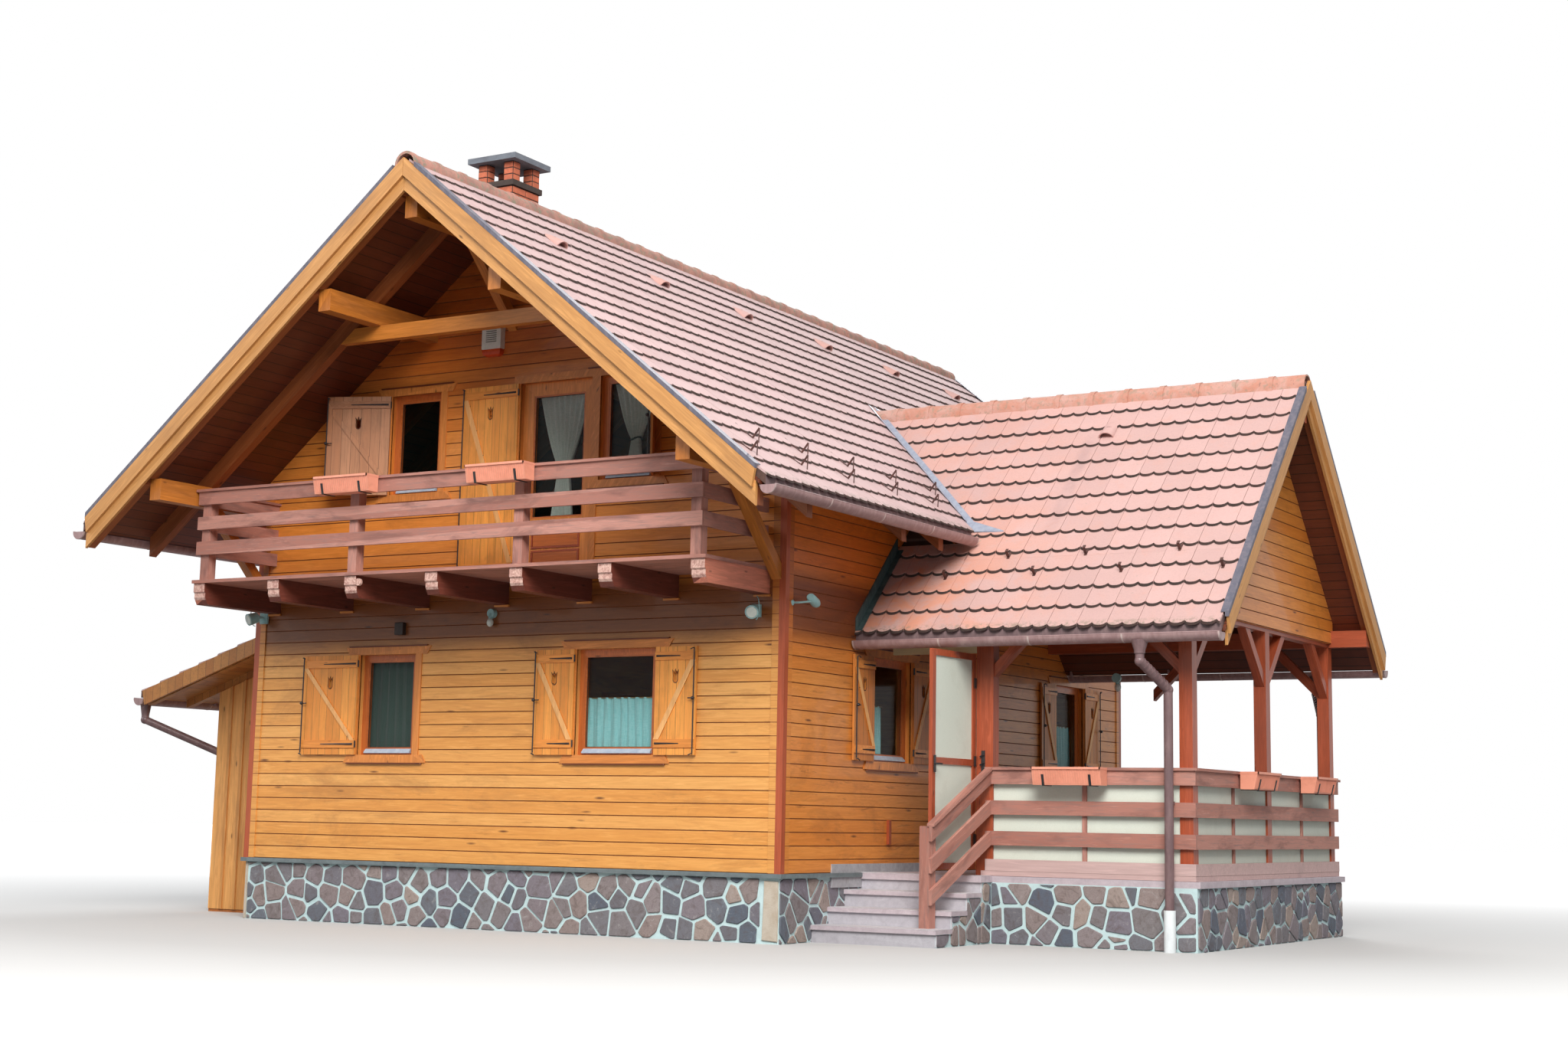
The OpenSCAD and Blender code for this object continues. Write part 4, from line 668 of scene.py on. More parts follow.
def finish_rows():
    """Every finish by name, under the function that builds it. %d stands for the way that its grain runs.
    Colours above 1 are as they look, 0 to 255 a channel."""
    scene = bpy.context.scene
    main, porch = tuple(scene.chalet_tiles.main_colour), tuple(scene.chalet_tiles.porch_colour)
    honey, deep = tuple(scene.chalet_siding.colour), tuple(scene.chalet_siding.deep)
    red, bed = tuple(scene.chalet_siding.dark), tuple(scene.chalet_stones.mortar)
    brown, fair = (0.45, 0.40, 0.38), (0.5, 0.4, 0.3)
    return {
        mineral: {
            # Moss, and painted shade under the overhanging edges of the tiles
            "mossy_tile_edge": ((68, 48, 44), (50, 44, 40), 14.0, 0.95, 0.003),
            # Painted shade: the stepped tile beds under the loose tiles are dark brown, so that where they
            # show they read as the shadow gap under the tiles
            "clay_under_tiles": ((98, 70, 62), (66, 54, 48), 8.0),
            # Painted shade inside the vent hoods
            "vent_inside": ((58, 36, 32), (34, 26, 24), 9.0),
            "siding_groove": ((152, 86, 40), (104, 54, 24), 9.0, 0.8, 0.002),
            "pale_corner_stone": ((206, 198, 184), (176, 158, 138), 7.0, 0.85, 0.006),
            "mortar": (bed, tint(bed, 0.78), 8.0, 0.95, 0.003),
            "ledge_stone": ((118, 130, 132), (90, 98, 102), 9.0, 0.6, 0.002),
            "orange_brick": ((208, 116, 84), (160, 88, 66), 11.0),
            "chimney_mortar": ((74, 62, 56), (50, 42, 40), 12.0),
            "blue_grey_concrete": ((124, 132, 142), (96, 100, 108), 7.0, 0.9, 0.005),
            "porch_stone_edge": ((204, 192, 198), (172, 158, 166), 10.0, 0.6, 0.003),
            "grey_floor_tile": ((204, 202, 206), (180, 176, 182), 12.0, 0.6, 0.002),
            "riser_tile": ((196, 194, 200), (168, 164, 172), 12.0, 0.6, 0.002),
            "skirting_tile": ((178, 178, 182), (144, 142, 148), 14.0, 0.6, 0.002)},
        metal: {
            "dark_verge_sheet": ((88, 88, 102), (122, 114, 122), 0.7),
            "blue_grey_sheet": ((144, 150, 168), (172, 176, 188)),
            "valley_shadow_edge": ((58, 54, 60), (84, 78, 82)),
            "green_sheet": ((56, 74, 76), (88, 108, 106)),
            "eave_drip_sheet": ((112, 90, 92), (140, 118, 118), 0.5),
            "mauve_gutter": ((150, 120, 120), (178, 150, 148), 0.42),
            "grey_end_cap": ((150, 146, 150), (178, 174, 178), 0.4),
            "pale_solder_seam": ((186, 164, 160), (206, 190, 186), 0.4),
            "brown_pipe": ((108, 84, 86), (138, 112, 112), 0.42),
            "rust_brown_iron": ((72, 44, 40), (104, 64, 54), 0.6),
            "black_iron": ((34, 34, 38), (62, 58, 56), 0.5),
            "pale_sill_metal": ((176, 190, 208), (206, 214, 224), 0.35),
            "brass_rod": ((150, 122, 70), (110, 92, 60), 0.35)},
        plastic: {
            "white_standpipe": ((232, 238, 240), (206, 212, 216), 0.5),
            "terracotta_plastic": ((238, 160, 134), (214, 138, 112), 0.5),
            "black_gasket": ((24, 24, 24), (44, 44, 42), 0.7),
            "dark_green_cord": ((38, 62, 54), (24, 40, 36), 0.8),
            "turquoise_enamel": ((150, 188, 188), (112, 146, 148), 0.35),
            "dark_box_plastic": ((44, 32, 28), (66, 50, 42), 0.5),
            "lamp_lens": ((216, 222, 214), (176, 188, 184), 0.12),
            "white_alarm_plastic": ((222, 220, 212), (188, 184, 172), 0.4),
            "orange_lens": ((206, 74, 30), (150, 44, 24), 0.2),
            "alarm_slots": ((120, 118, 112), (92, 90, 86), 0.6)},
        curtain_cloth: {
            "turquoise_cotton": ((184, 250, 252), (104, 208, 208)),
            "pale_green_cotton": ((236, 246, 238), (164, 190, 180)),
            "grey_net": ((66, 92, 84), (42, 62, 56))},
        boarded: {
            "soffit_boards_main": ((108, 52, 30), "y", "x", 0.093, 0.006),
            "soffit_boards_porch": ((108, 52, 30), "x", "y", 0.084, 0.006),
            "lean_to_soffit": ((190, 128, 64), "y", "x", 0.114, 0.004),
            "lean_to_wood": ((196, 118, 50), "z", "y", 0.19, 0.004),
            "pale_floor": ((186, 140, 92), "x", "y", 0.12, 0.003),
            "shutter_boards_x": ((252, 170, 80), "z", "x", 0.098, 0.003),
            "shutter_boards_y": ((222, 142, 66), "z", "y", 0.098, 0.003),
            "weathered_shutter_boards": ((196, 142, 106), "z", "x", 0.098, 0.003)},
        wood: {
            "honey_beam_%d": ((206, 128, 52), "x", fair, 0.4, 0.25, 0.45),
            "red_brown_%d": (red, "x", brown, 0.25, 0.2, 0.42),
            # Painted shade: the rafters are the purlins' honey wood made dark, as they look in the shade
            # under the roof
            "dark_rafter_%d": ((150, 82, 40), "x", fair, 0.4, 0.25, 0.5),
            "window_wood_%d": ((206, 112, 52), "x", (0.50, 0.42, 0.36), 0.2, 0.2, 0.38),
            "casing_wood_%d": ((228, 144, 70), "x", (0.50, 0.40, 0.32), 0.3, 0.2, 0.45),
            "barge_wood_%d": ((206, 150, 88), "x", (0.55, 0.45, 0.38), 0.45, 0.15, 0.55),
            "joist_stain": ((222, 138, 112), "y", brown, 0.4, 0.2, 0.6),
            # The joists' stain darkened as painted shade, for the inner joists and the undersides
            "dark_joist_stain": ((118, 58, 44), "y", brown, 0.4, 0.2, 0.6),
            "cream_header_board": ((206, 196, 160), "x", (0.7, 0.64, 0.54), 0.3, 0.1, 0.6),
            "pink_kick_board": ((202, 172, 168), "x", (0.74, 0.70, 0.70), 0.3, 0.15, 0.7),
            "lean_to_boards": ((240, 174, 100), "x", fair, 0.45, 0.3, 0.5),
            # Cut end grain, darkened as painted shade around the tulip holes
            "dark_cut_wood": ((84, 48, 30), "x", fair, 0.2, 0.1, 0.6),
            "dark_shelf": ((122, 62, 26), "x", fair, 0.3, 0.2, 0.5),
            "shutter_battens": ((244, 156, 70), "x", fair, 0.3, 0.2, 0.45),
            "shutter_brace": ((246, 186, 120), "z", (0.6, 0.5, 0.4), 0.2, 0.1, 0.5),
            "weathered_shutter_battens": ((184, 130, 96), "x", (0.5, 0.42, 0.36), 0.3, 0.2, 0.45)},
        varnished_siding: {"siding_wood_%d": (honey, 0.62, 0.3), "deep_siding_wood_%d": (deep, 0.75, 0.8)},
        corner_wood: {"corner_board_wood": (scene.chalet_siding.board, red, honey, deep)},
        worn_rail: {"weathered_rail_%d": ()},
        clay: {
            "pale_pink_clay": (main, tint(main, 1.14), (186, 146, 140), main_weather),
            "salmon_clay": (porch, tint(porch, 1.12), (206, 154, 138), porch_weather)},
        ridge_clay: {"mottled_ridge_clay": ()},
        cut_end: {"worn_end_grain": ()},
        stones: {"field_stones": ()},
        pane_glass: {"dark_pane": ()},
        screen_weave: {"open_weave": ()}}


READY = {}


def ready(name, direction=None):
    """A finish by its name, built when first asked for. A grained wood takes the direction of its grain."""
    build, row = next((build, rows[name]) for build, rows in finish_rows().items() if name in rows)
    values = [tone(*v) if isinstance(v, tuple) and max(v) > 1 else v for v in row]
    if direction is not None and build in (wood, varnished_siding, worn_rail):
        turn, number = grain_turn(direction)
        values.append(turn)
        name = name % number if "%d" in name else name
    if name not in READY:
        READY[name] = build(name, *values)
    return READY[name]


def front_face(a, b, h):
    """On the front wall: a along it, b up, h out of it."""
    return (a, -h, b)


def back_face(a, b, h):
    return (a, LENGTH + h, b)


def right_face(a, b, h):
    return (HALF_W + h, a, b)


def left_face(a, b, h):
    return (-HALF_W - h, a, b)


# Foot and head of the windows on each storey, then the openings: two places along the wall, foot and head
GROUND, UPPER = (1.732, 2.772), (4.46, 5.52)
FRONT_OPENINGS = [(-1.835, -1.095, *GROUND), (0.955, 1.895, *GROUND)]
FRONT_UPPER = [(-1.56, -0.90, *UPPER), (1.14, 1.80, *UPPER)]
BALCONY_DOOR = (0.14, 1.04, 3.50, 5.52)
BACK_OPENINGS = [(-1.895, -0.955, *GROUND), (0.955, 1.895, *GROUND), (-1.56, -0.90, *UPPER),
                 (0.90, 1.56, *UPPER)]
RIGHT_OPENINGS = [(1.75, 2.59, *GROUND), (6.28, 7.12, *GROUND)]
LEFT_OPENINGS = RIGHT_OPENINGS[1:]
ENTRANCE = (3.20, 4.12, 0.69, 2.75)


def slab(maker, place, outline, low, high, bevel=0.0, mark=0, edge=None, drawn=None):
    """A flat solid on a face, between two heights out of it, with its outer edge broken by a bevel."""
    if area(outline) < 0:
        outline = outline[::-1]
    rings = [(outline, low), (outline, high - bevel)]
    if bevel:
        rings.append(((drawn or drawn_in)(outline, bevel), high))
    maker.skin([[place(a, b, h) for a, b in ring] for ring, h in rings], mark, edge, "low sides high")


def drawn_in(outline, amount):
    """An outline drawn in towards its middle."""
    u = sum(p[0] for p in outline) / len(outline)
    v = sum(p[1] for p in outline) / len(outline)
    drawn = []
    for a, b in outline:
        far = math.hypot(a - u, b - v)
        keep = max(0.3, 1 - 1.2 * amount / far) if far else 1
        drawn.append((u + (a - u) * keep, v + (b - v) * keep))
    return drawn


def rounded(outline):
    """Cuts each corner off once, so that a stone has blunt corners."""
    cut = []
    for i, (u, v) in enumerate(outline):
        p, q = outline[i - 1]
        far = math.hypot(u - p, v - q)
        t = min(0.15, 0.010 / far) if far else 0
        cut += [(p + (u - p) * t, q + (v - q) * t), (p + (u - p) * (1 - t), q + (v - q) * (1 - t))]
    return cut


def without(outlines, hole):
    """Cuts a rectangular hole out of outlines, which leaves parts beside, under and over it."""
    a0, a1, b0, b1 = hole
    smallest = 0.0004
    kept = []
    for outline in outlines:
        across, up = zip(*outline)
        if min(up) >= b1 or max(up) <= b0 or min(across) >= a1 or max(across) <= a0:
            kept.append(outline)
            continue
        between = clip(clip(outline, 1, 0, -a0), -1, 0, a1)
        parts = [clip(outline, -1, 0, a0), clip(outline, 1, 0, -a1)]
        if between:
            parts += [clip(between, 0, -1, b0), clip(between, 0, 1, -b1)]
        kept += [part for part in parts if len(part) > 2 and abs(area(part)) > smallest]
    return kept


def siding(maker, place, wall, limits=(), holes=(), rows_from=SIDING_FOOT):
    """Horizontal boards with broken edges over a wall from a0 to a1 and b0 to b1."""
    settings = bpy.context.scene.chalet_siding
    a0, a1, b0, b1 = wall
    chamfer, gap, smallest = 0.0045, 0.0008, 0.0004
    row = math.floor((b0 - rows_from) / settings.board + 1e-6)
    while rows_from + row * settings.board < b1:
        low = max(b0, rows_from + row * settings.board + gap)
        high = min(b1, rows_from + (row + 1) * settings.board - gap)
        row += 1
        outlines = [oblong(a0, a1, low, high)]
        for a, b, c in limits:
            outlines = [part for part in (clip(o, a, b, c) for o in outlines) if len(part) > 2]
        for hole in holes:
            outlines = without(outlines, hole)
        for outline in outlines:
            if abs(area(outline)) > smallest:
                slab(maker, place, outline, 0.0, settings.proud, chamfer, 0, 1, lambda o, edge: [
                    (a, min(max(b, low + edge), high - edge)) for a, b in o])


def tile_lobe(u):
    """How far the lower edge of a tile hangs at u, from 0 at its side to 1: two round lobes."""
    t = abs((2 * u) % 1 * 2 - 1)
    return math.sqrt(max(0.0, 1 - 0.92 * t * t)) - math.sqrt(0.08)


LOBE_STEPS = 12


def tile_courses(maker, place, eave, run, count, span, regions, seed):
    """Courses of scalloped tiles. Place takes a distance along the eave, one from the ridge, and a depth."""
    settings = bpy.context.scene.chalet_tiles
    dice = random.Random(seed)
    step, side_gap, from_ridge, smallest = 0.020, 0.0015, 0.02, 0.0008
    wide = settings.width - 3 * side_gap
    for row in range(count):
        low, high = eave - row * run, max(eave - (row + 1) * run, from_ridge)
        for k in range(int((span[1] - span[0]) / settings.width) + 1):
            left = span[0] + k * settings.width + side_gap
            over = 0.004 + dice.uniform(-0.003, 0.003)
            thick = settings.thickness + dice.uniform(-0.001, 0.0015)
            outline = [(left + wide, high), (left, high)]
            for i in range(LOBE_STEPS + 1):
                lobe = tile_lobe(min(0.999999, i / LOBE_STEPS))
                outline.append((left + wide * i / LOBE_STEPS, low + over + settings.scallop * lobe))
            for region in regions:
                part = clip(clip(outline, 1, 0, -span[0]), -1, 0, span[1])
                for a, b, c in region:
                    part = clip(part, a, b, c) if part else part
                if len(part) > 2 and abs(area(part)) >= smallest:
                    lay_tile(maker, place, part, low, run, step, thick)


def lay_tile(maker, place, outline, low, run, step, thick):
    """One tile. Its underside and the edge that hangs over the next course are marked for the dark finish of
    moss and painted shade.
    """
    if area(outline) < 0:
        outline = outline[::-1]
    hangs = [b > low for a, b in outline]
    rings = []
    for raised, out in ((0.0, 0.007), (thick - 0.003, 0.0), (thick, -0.002)):
        keep = [(a, b + out if b > low else b) for a, b in outline]
        rings.append([place(a, b, step * (low - b) / run - raised) for a, b in keep])
    maker.skin(rings, 0, lambda r, i: int(r == 0 and hangs[i] and hangs[(i + 1) % len(hangs)]),
               "low sides high", 1)


def roof_z(x, depth=0.0):
    return RIDGE_Z - ROOF_M * abs(x) - depth / ROOF_COS


def porch_z(u, depth=0.0):
    return PORCH_RIDGE_Z - PORCH_M * abs(u) - depth / PORCH_COS


def lean_z(x, depth=0.0):
    return LEAN_TOP - LEAN_M * (abs(x) - HALF_W) - depth / LEAN_COS


class CHALET_OT_main_tiles(bpy.types.Operator):
    """Lays the scalloped tiles of the main roof on their courses"""
    bl_idname = "chalet.main_tiles"
    bl_label = "Main Roof Tiles"

    def execute(self, context):
        verge = (-VERGE + 0.032, LENGTH + VERGE - 0.032)
        around_stack = [[(-1, 0, 0.17)], [(1, 0, -0.63)], [(1, 0, -0.17), (-1, 0, 0.63), (0, -1, 0.22)],
                        [(1, 0, -0.17), (-1, 0, 0.63), (0, 1, -0.68)]]
        rise = RIDGE_Z - PORCH_RIDGE_Z - 0.131
        valley = [[(-PORCH_M, -ROOF_M, rise + PORCH_M * PORCH_MID), (-1, 0, PORCH_MID)],
                  [(PORCH_M, -ROOF_M, rise - PORCH_M * PORCH_MID), (1, 0, -PORCH_MID)]]
        for name, side, regions, seed in (("main_tiles_left", -1, around_stack, 11),
                                          ("main_tiles_right", 1, valley, 12)):
            maker = Maker()
            tile_courses(maker, lambda t, s, d: (side * s, t, roof_z(s, d)), EAVE_X, 0.21884, 19, verge,
                         regions, seed)
            maker.piece(name, ["pale_pink_clay", "mossy_tile_edge"], "roof_tile")
        return {"FINISHED"}


class CHALET_OT_porch_tiles(bpy.types.Operator):
    """Lays the scalloped tiles of the porch roof up to the valley"""
    bl_idname = "chalet.porch_tiles"
    bl_label = "Porch Roof Tiles"

    def execute(self, context):
        maker = Maker()
        meet = (PORCH_RIDGE_Z - (RIDGE_Z - TILE_DEPTH / ROOF_COS)) / ROOF_M
        regions = [[(0, 1, -1.914), (1, 0, -3.337)],
                   [(0, -1, 1.911), (0, 1, -1.677), (1, 0, -EAVE_X - 0.004)],
                   [(0, -1, 1.911), (0, 1, -1.72), (1, 0, -3.337), (-1, 0, EAVE_X + 0.002)],
                   [(0, -1, 1.677), (1, -PORCH_M / ROOF_M, meet)]]
        for side in (-1, 1):
            tile_courses(maker, lambda t, s, d: (t, PORCH_MID + side * s, porch_z(s, d)), PORCH_EAVE, 0.20292,
                         13, (2.04, PORCH_END - 0.027), regions, 20 + side)
        maker.piece("porch_tile_courses", ["salmon_clay", "mossy_tile_edge"], "porch_tile")
        return {"FINISHED"}


class CHALET_OT_lean_to_tiles(bpy.types.Operator):
    """Lays the scalloped tiles of the lean-to"""
    bl_idname = "chalet.lean_to_tiles"
    bl_label = "Lean-To Tiles"

    def execute(self, context):
        maker = Maker()
        tile_courses(maker, lambda t, s, d: (-s, t, lean_z(s, d)), LEAN_EAVE, 0.28857, 7, (0.282, 5.718),
                     [[(0, 1, -3.336)]], 31)
        maker.piece("lean_to_tile_courses", ["pale_pink_clay", "mossy_tile_edge"], "roof_tile")
        return {"FINISHED"}


class CHALET_OT_siding(bpy.types.Operator):
    """Boards the house walls and the porch gable"""
    bl_idname = "chalet.siding"
    bl_label = "Siding Boards"

    def execute(self, context):
        board = context.scene.chalet_siding.board
        break_z = SIDING_FOOT + board * math.ceil((4.281 - LEDGE) / board)
        under, peak = RIDGE_Z - 0.0957 / ROOF_COS, PORCH_RIDGE_Z - 0.0957 / PORCH_COS
        rakes = [(-ROOF_M, -1, under), (ROOF_M, -1, under)]
        for name, face, holes in (("siding_front", front_face, FRONT_OPENINGS + FRONT_UPPER + [BALCONY_DOOR]),
                                  ("siding_back", back_face, BACK_OPENINGS)):
            maker = Maker()
            siding(maker, face, (-3.21, 3.21, SIDING_FOOT, break_z), (), holes)
            siding(maker, face, (-3.314, 3.314, break_z, 7.34), rakes, holes)
            maker.piece(name, ["siding_wood_%d", "siding_groove"], "varnished_siding", grain=ALONG)
        for name, face, holes in (("siding_right", right_face, RIGHT_OPENINGS + [ENTRANCE]),
                                  ("siding_left", left_face, LEFT_OPENINGS + [(0.92, 5.08, 0.5, 2.90)])):
            maker = Maker()
            siding(maker, face, (0.11, LENGTH - 0.11, SIDING_FOOT, 4.279), (), holes)
            maker.piece(name, ["deep_siding_wood_%d", "siding_groove"], "varnished_siding", grain=BACK)
        maker = Maker()
        rakes = [(-PORCH_M, -1, peak), (PORCH_M, -1, peak)]
        for start, out in ((6.698, 1), (6.670, -1)):
            siding(maker, lambda a, b, h: (start + out * h, PORCH_MID + a, b), (-2.13, 2.13, 3.159, 5.57),
                   rakes, (), 3.159)
        maker.piece("siding_porch_gable", ["siding_wood_%d", "siding_groove"], "varnished_siding",
                    grain=BACK)
        return {"FINISHED"}


class CHALET_OT_lean_to_boards(bpy.types.Operator):
    """Upright boards with cover strips on the lean-to"""
    bl_idname = "chalet.lean_to_boards"
    bl_label = "Lean-To Boards"

    def execute(self, context):
        maker = Maker()
        wall = 4.72
        for face, start, end in ((lambda a, b, h: (-wall - h, a, b), 0.9, 5.1),
                                 (lambda a, b, h: (a, 0.9 - h, b), -wall, -3.346),
                                 (lambda a, b, h: (a, 5.1 + h, b), -wall, -3.346)):
            count = round((end - start) / 0.19)
            pitch = (end - start) / count
            for i in range(count):
                board, strip = start + i * pitch + 0.002, start + i * pitch - 0.022
                rows = [(board, start + (i + 1) * pitch - 0.002, 0.0, 0.012),
                        (strip, strip + 0.044, 0.012, 0.026)]
                for a0, a1, low, high in rows if i else rows[:1]:
                    tops = [lean_z(a, 0.183) if start < 0 else lean_z(wall, 0.19) for a in (a0, a1)]
                    slab(maker, face, [(a0, 0.03), (a1, 0.03), (a1, tops[1]), (a0, tops[0])], low, high,
                         0.004)
        maker.piece("lean_to_boards", ["lean_to_boards"], "batten_wood", grain=UP)
        return {"FINISHED"}


def stone_panel(maker, place, width, height, seed, regions):
    """Field stones on a face: cells around scattered points, with mortar between them."""
    settings = bpy.context.scene.chalet_stones
    dice = random.Random(seed)
    size, margin, edge = settings.size, 0.2, 0.006
    columns, rows = max(1, round(width / size)), max(2, round(height / size * 1.05))
    seeds = []
    for row in range(-1, rows + 1):
        for column in range(-1, columns + 1):
            seeds.append(((column + 0.5 + 0.5 * (row % 2) + dice.uniform(-0.42, 0.42)) * width / columns,
                          (row + 0.5 + dice.uniform(-0.40, 0.40)) * height / rows,
                          dice.uniform(0, 0.2 * size * size)))
    for u, v, weight in seeds:
        if not (-margin < u < width + margin and -margin < v < height + margin):
            continue
        joint = settings.joint * dice.uniform(0.75, 1.35)
        for a0, a1, b0, b1 in regions:
            outline = oblong(a0 + edge, a1 - edge, b0 + edge, b1 - edge)
            for p, q, other in seeds:
                far = math.hypot(p - u, q - v)
                if 0 < far < 3.2 * size:
                    a, b = (u - p) / far, (v - q) / far
                    middle = a * (p + u) / 2 + b * (q + v) / 2
                    outline = clip(outline, a, b, -middle + (weight - other) / (2 * far)
                                   - joint * dice.uniform(0.3, 0.8))
                    if not outline:
                        break
            if len(outline) > 2 and abs(area(outline)) > 0.0012:
                high = settings.proud * dice.uniform(0.75, 1.1)
                slab(maker, place, rounded(outline), -0.002, high, edge)


class CHALET_OT_rubble(bpy.types.Operator):
    """Sets polygonal field stones in the plinths and the flank of the steps"""
    bl_idname = "chalet.rubble"
    bl_label = "Rubble Stones"

    def execute(self, context):
        maker, corner = Maker(), Maker()
        main, porch, tread = 0.598, 0.578, 0.319
        # Where a panel starts, the way it runs, the way that its stones stand out, its width and its height
        for seed, (x, y, run, out, width, height) in enumerate((
                (-3.28, 0, "x", -1, 6.40, main), (HALF_W, 0, "y", 1, 1.56, main),
                (HALF_W, 6.29, "y", 1, 2.0, main),
                (-3.31, LENGTH, "x", 1, 6.62, main), (-HALF_W, 0, "y", -1, 0.9, main),
                (-HALF_W, 5.11, "y", -1, 3.18, main), (4.64, 1.78, "x", -1, 2.07, porch),
                (6.72, 1.79, "y", 1, 4.48, porch), (3.33, 6.28, "x", 1, 3.38, porch),
                (4.63, 0.599, "y", 1, 1.17, porch))):
            regions = [(0.0, width, 0.0, height)]
            if seed == 9:
                regions = [(tread * i, tread * (i + 1), 0.0, 0.12 + 0.16 * i) for i in range(3)]
                regions.append((tread * 3, width, 0.0, height))

            def place(a, b, h):
                return (x + a, y + out * h, b) if run == "x" else (x + out * h, y + a, b)
            stone_panel(maker, place, width, height, 40 + seed, regions)
        maker.piece("rubble_stones", ["field_stones"], "rubble")
        dice = random.Random(5)
        tall = [(3.145, 0.03), (3.31, 0.02), (3.312, 0.30), (3.308, 0.57), (3.16, 0.575), (3.15, 0.32)]
        slab(corner, front_face, [(a + dice.uniform(-0.004, 0.004), b) for a, b in tall], -0.002, 0.016,
             0.007)
        slab(corner, front_face, [(-3.318, 0.0), (-3.284, 0.0), (-3.286, 0.596), (-3.318, 0.596)], -0.002,
             0.008, 0.003)
        corner.piece("corner_stones", ["pale_corner_stone"], "rubble")
        return {"FINISHED"}


class CHALET_OT_chimney_bricks(bpy.types.Operator):
    """Lays brick faces around the chimney stack and its four piers"""
    bl_idname = "chalet.chimney_bricks"
    bl_label = "Chimney Bricks"

    def execute(self, context):
        maker = Maker()
        dice = random.Random(8)
        x, y, joint, layer, pier_layer = -0.45, 0.40, 0.011, 0.0755, 0.0685

        def course(cx, cy, half, z, high, bricks, shift):
            pitch = 2 * half / bricks
            inner = [pitch * (i + shift) for i in range(bricks + 1)]
            edges = [-half] + [place - half for place in inner if 0.02 < place < 2 * half - 0.02] + [half]
            for turn in range(4):
                def place(a, b, h):
                    u, v = a, -half - h
                    for _ in range(turn):
                        u, v = -v, u
                    return (cx + u, cy + v, b)
                for a0, a1 in zip(edges, edges[1:]):
                    outline = oblong(a0 + joint / 2, a1 - joint / 2, z, z + high - joint)
                    slab(maker, place, outline, -0.001, dice.uniform(0.005, 0.008), 0.002)
        for i in range(11):
            course(x, y, 0.23, 6.90 + i * layer, layer, 2, 0.5 if i % 2 else 0.0)
        for sx in (-1, 1):
            for sy in (-1, 1):
                for i in range(3):
                    course(x + sx * 0.17, y + sy * 0.17, 0.06, 7.794 + i * pier_layer, pier_layer, 1, 0.0)
        maker.piece("chimney_bricks", ["orange_brick"], "chimney_brick")
        return {"FINISHED"}


class CHALET_OT_roof_metal(bpy.types.Operator):
    """Sheet metal along the verges, over the barge boards, and where the porch tiles meet the wall"""
    bl_idname = "chalet.roof_metal"
    bl_label = "Roof Metal"

    def execute(self, context):
        verges, upstand = Maker(), Maker()
        for side in (-1, 1):
            def on_porch(u, x, depth):
                return (x, PORCH_MID + side * u, porch_z(u, depth))
            for y0, y1, y2 in ((-1.851, -1.812, -1.757), (LENGTH + 1.851, LENGTH + 1.812, LENGTH + 1.757)):
                for profile in (oblong(y0, y1, 0.010, -0.026), oblong(y1, y2, -0.019, -0.026)):
                    verges.sweep(lambda x, y, depth: (side * x, y, roof_z(x, depth)), profile, (0.135, 4.085))
            for profile in (oblong(7.171, 7.132, 0.010, -0.026), oblong(7.132, 7.092, -0.019, -0.026)):
                verges.sweep(on_porch, profile, (0.135, 2.585))
            for profile in ([(3.333, -0.010), (3.350, -0.016), (3.345, -0.105), (3.333, -0.108)],
                            oblong(3.345, 3.41, -0.018, -0.024)):
                upstand.sweep(on_porch, profile, (2.66, 1.79))
        verges.piece("verge_metal", ["dark_verge_sheet"], "sheet_metal")
        self.valleys().piece("valley_sheets", ["blue_grey_sheet", "valley_shadow_edge"], "sheet_metal")
        upstand.piece("wall_upstand", ["green_sheet"], "sheet_metal")
        return {"FINISHED"}

    def valleys(self):
        """A folded sheet down each valley: over the cut main tiles, down, and out over the porch tiles."""
        maker = Maker()
        for side in (-1, 1):
            rings = []
            for u in (0.06, 0.55, 1.05, 1.50, 1.56, 1.625):
                y = PORCH_MID + side * u
                cut = (RIDGE_Z - PORCH_RIDGE_Z - 0.131 + PORCH_M * u) / ROOF_M
                near, far = cut + 0.014, cut + 0.190 + max(0.0, (u - 1.50) * 1.9)
                profile = [(cut + a, roof_z(cut + a, d)) for a, d in ((-0.030, -0.0225), (0.010, -0.0235))]
                profile += [(at, porch_z(u, d)) for at, d in (
                    (near, -0.032), (far - 0.004, -0.0245), (far, -0.017), (far - 0.003, -0.013),
                    (near - 0.003, -0.028))]
                profile += [(cut + a, roof_z(cut + a, d)) for a, d in ((0.006, -0.020), (-0.030, -0.019))]
                rings.append([(x, y, z) for x, z in profile])
            maker.skin(rings, 0, lambda ring, corner: int(corner == 3))
        return maker


def vent_hood(maker, place, wide, long, rise):
    """A half-round vent hood, open at its lower end. Place takes along the eave, down the slope, and out."""
    angles = [math.pi * k / 12 for k in range(13)]

    def arch(half, down, tall, sign=1):
        return [place(sign * half * math.cos(t), down, tall * math.sin(t)) for t in angles]
    rings = []
    for t in (0, 0.25, 0.5, 0.75, 1):
        tall = rise * (0.12 + 0.88 * t ** 0.8)
        half = wide / 2 * (0.82 + 0.18 * t)
        down = -long + long * t
        rings.append(arch(half, down, tall, -1) + arch(half - 0.011, down, max(0.0, tall - 0.011)))
    maker.skin(rings)
    # A plug inside the hood, dark as painted shade in its opening
    maker.solid(*(arch(wide * 0.40, long * share, rise * 0.6, -1) for share in (-0.55, -0.5)), 1)


def main_spot(x, y, side=1):
    """Place on the main slope: a along the eave, b down the slope, h out of it, from the point at x."""
    return lambda a, b, h: (side * (x + b * ROOF_COS) + side * h * 0.632, y + a,
                            roof_z(x, -0.006) - b * ROOF_M * ROOF_COS + h * ROOF_COS)


